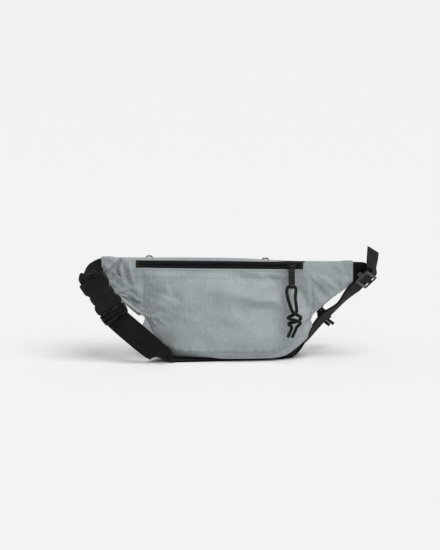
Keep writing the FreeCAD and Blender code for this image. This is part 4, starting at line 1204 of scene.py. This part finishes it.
def cord_routes(name):
    """Each half's way from the middle of the tab's barrel, through the knot, to its cut end."""
    knot = CORDS[name]["knot"]
    out, down = CORDS[name]["tail"]
    enter, leave = knot + KNOT_HIGH / 2 + 0.7, knot - KNOT_HIGH / 2 - 1.2
    left_leg = [(0, 0, 0), (-4.6, 0, 0), (-6.6, 0, -4.6), (-6, 0, -11), (-4.6, 0, -17.5),
                (-2.2, 0, enter + 9.5), (0.8, 0, enter)]
    right_leg = [(0, 0, 0), (4.4, 0, 0), (5.6, 0, -4.8), (4.4, 0, -12), (4.8, 0, -20),
                 (6, 0, enter + 7), (6, 0, enter)]
    left_tail = [(0.2, 0, leave), (0.2 + out * 0.35, -0.6, leave + down * 0.42),
                 (0.2 + out, -1.2, leave + down)]
    right_tail = [(5.6, 0, leave), (5.6 + out * 0.3, 0.6, leave + down * 0.45),
                  (5.6 + out, 1.2, leave + down)]
    turns = {half: [(x + KNOT_MIDDLE, y, z + knot) for x, y, z in points] for half, points in KNOTS.items()}
    hung = {"left": (left_leg, turns["left"] + left_tail),
            "right": (right_leg, turns["right"] + right_tail)}
    swing = BACK_SWING if name == "back" else Vector()
    return {half: leg + [Vector(point) + swing for point in rest] for half, (leg, rest) in hung.items()}


def pull_cord(name):
    """The two halves of the pull's cord: out of the barrel, down, through the knot, and their cut tails."""
    pivot, place = hanging_frame(name, "_cord_swing", HANGS[name]["cord"])
    for half, route in cord_routes(name).items():
        points = [place @ Vector(point) for point in route]
        curve = round_curve("%s_cord_%s" % (name, half), points, CORD_WIDE / 2 * MM, smooth_round=4,
                            smooth_along=10)
        curve.materials.append(CORD)
        cord = linked("%s_cord_half_%s" % (name, half), curve)
        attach(cord, name + "_cord")
        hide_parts("%s_cord_%s" % (name, half), "%s_cord_knot" % name)
        tuple(pivot)


for zip_name in ZIPS:
    chain_middle = ZIPS[zip_name]["middle"]
    chain_depth = LEAN_BACK + ZIPS[zip_name]["side"] * BAND_DEPTH / 2
    chain_place = chain_frame(zip_name, at(chain_middle, chain_depth, zip_line(chain_middle, zip_name)))
    for row_name in ("upper", "lower"):
        half_tape(zip_name, row_name, chain_place)
        coil_row(zip_name, row_name, chain_place)
    for end_name in ("left", "right"):
        zip_stop(zip_name, end_name, chain_place)
    zip_slider(zip_name)
    pull_tab(zip_name)
    pull_cord(zip_name)

# The CAD nodes that no piece replaces, such as the divider, are of lining.
for node in frame["nodes"].values():
    if not node.hide_render:
        node.data.materials.clear()
        node.data.materials.append(LINING)

# ---------------------------------------------------------------- stitches


def panel_point(tree, side, x, z):
    """Where the panel's outer face is at one place, and its normal."""
    start = at(x, side * 90, z)
    place, normal, _, _ = tree.ray_cast(start, Vector((0, -side, 0)))
    if place is None:
        return None
    return place, normal if normal.y * side > 0 else -normal


def stitch_row(name, side, path, long=2.5, gap=1.2):
    """Short raised stitches along a path of (x, z) points on a panel."""
    panel = bpy.data.objects["%s_panel_cloth" % ("front" if side < 0 else "back")]
    tree = BVHTree.FromPolygons([vertex.co for vertex in panel.data.vertices],
                                [tuple(face.vertices) for face in panel.data.polygons])
    build = bmesh.new()
    gone, due = 0.0, 0.0
    for (x0, z0), (x1, z1) in zip(path, path[1:]):
        length = math.hypot(x1 - x0, z1 - z0)
        while due <= gone + length:
            t = (due - gone) / length
            t_end = t + long / length
            ends = [panel_point(tree, side, x0 + (x1 - x0) * u, z0 + (z1 - z0) * u) for u in (t, t_end)]
            due += long + gap
            if None in ends or (ends[0][0] - ends[1][0]).length > 2 * long * MM:
                continue
            add_stitch(build, ends)
        gone += length
    bmesh.ops.recalc_face_normals(build, faces=build.faces)
    new_object(name, mesh_of(build, name), THREAD, "bag")


def add_stitch(build, ends):
    """One stitch: a thread that dips into the cloth at both ends."""
    (start, normal), (end, _) = ends
    run = end - start
    side = run.cross(normal).normalized()
    sections = []
    for share, rise in ((0.0, -0.12), (0.2, 0.1), (0.5, 0.2), (0.8, 0.1), (1.0, -0.12)):
        sections.append((start + run * share + normal * rise * MM, side, normal))
    add_tube(build, sections, 0.24 * MM)


def all_stitches():
    """Two rows below each zip, one above the lower seam, and one down each wing's tip."""
    for name, spec in ZIPS.items():
        side = spec["side"]
        left, right = spec["middle"] - ZIP_LONG / 2 - 3, spec["middle"] + ZIP_LONG / 2 + 3
        below = [(x, zip_line(x, name) - 7.6) for x in (left, right)]
        stitch_row(name + "_stitch_zip_low", side, below)
        stitch_row(name + "_stitch_zip_seam", side, [(x, z - 8.6) for x, z in below], 2.1, 1.5)
        seam = [(i * 4, lower_height(i * 4) + 3.2) for i in range(-36, 37)]
        stitch_row(name + "_stitch_seam", side, seam)
        for x, end in ((-156.5, "left"), (156.5, "right")):
            tip = [(x, top_height(x) - 3), (x, lower_height(abs(x)) + 3)]
            stitch_row("%s_stitch_wing_%s" % (name, end), side, tip)


all_stitches()

# ---------------------------------------------------------------- floor, light and camera


def build_floor():
    """A pale paper floor that reaches far past the view."""
    side, back = 30, 60
    mesh = bpy.data.meshes.new("floor")
    corners = [(-side, -side, 0), (side, -side, 0), (side, back, 0), (-side, back, 0)]
    mesh.from_pydata(corners, [], [(0, 1, 2, 3)])
    nodes = Nodes("floor_paper")
    grain = nodes.noise(nodes.place("Object"), 900, 2)
    nodes.finish((0.87, 0.87, 0.872), 0.9, nodes.bump(grain, 0.00002, 0.3), specular=0.1)
    mesh.materials.append(nodes.material)
    linked("floor", mesh)


def build_light():
    """An even white room with one broad light from the upper right in front."""
    world = bpy.data.worlds.new("room")
    world.use_nodes = True
    background = world.node_tree.nodes["Background"]
    background.inputs[0].default_value = (1, 1, 1, 1)
    background.inputs[1].default_value = 0.35
    bpy.context.scene.world = world
    sun = bpy.data.lights.new("key", "SUN")
    sun.energy = 2.5
    sun.angle = math.radians(50)
    linked("key", sun).rotation_euler = (math.radians(22), math.radians(20), 0)


def build_camera():
    """A long lens, a little above the bag, aimed above its middle so that it stands low in the view."""
    elevation, distance, target = math.radians(10), 2.3, at(-9.2, 0, 109.6)
    data = bpy.data.cameras.new("camera")
    data.lens = 118
    camera = linked("camera", data)
    away = Vector((0, -math.cos(elevation), math.sin(elevation)))
    camera.location = target + away * distance
    camera.rotation_euler = (math.pi / 2 - elevation, 0, 0)
    bpy.context.scene.camera = camera


build_floor()
build_light()
build_camera()
bpy.context.scene.view_settings.view_transform = "Standard"
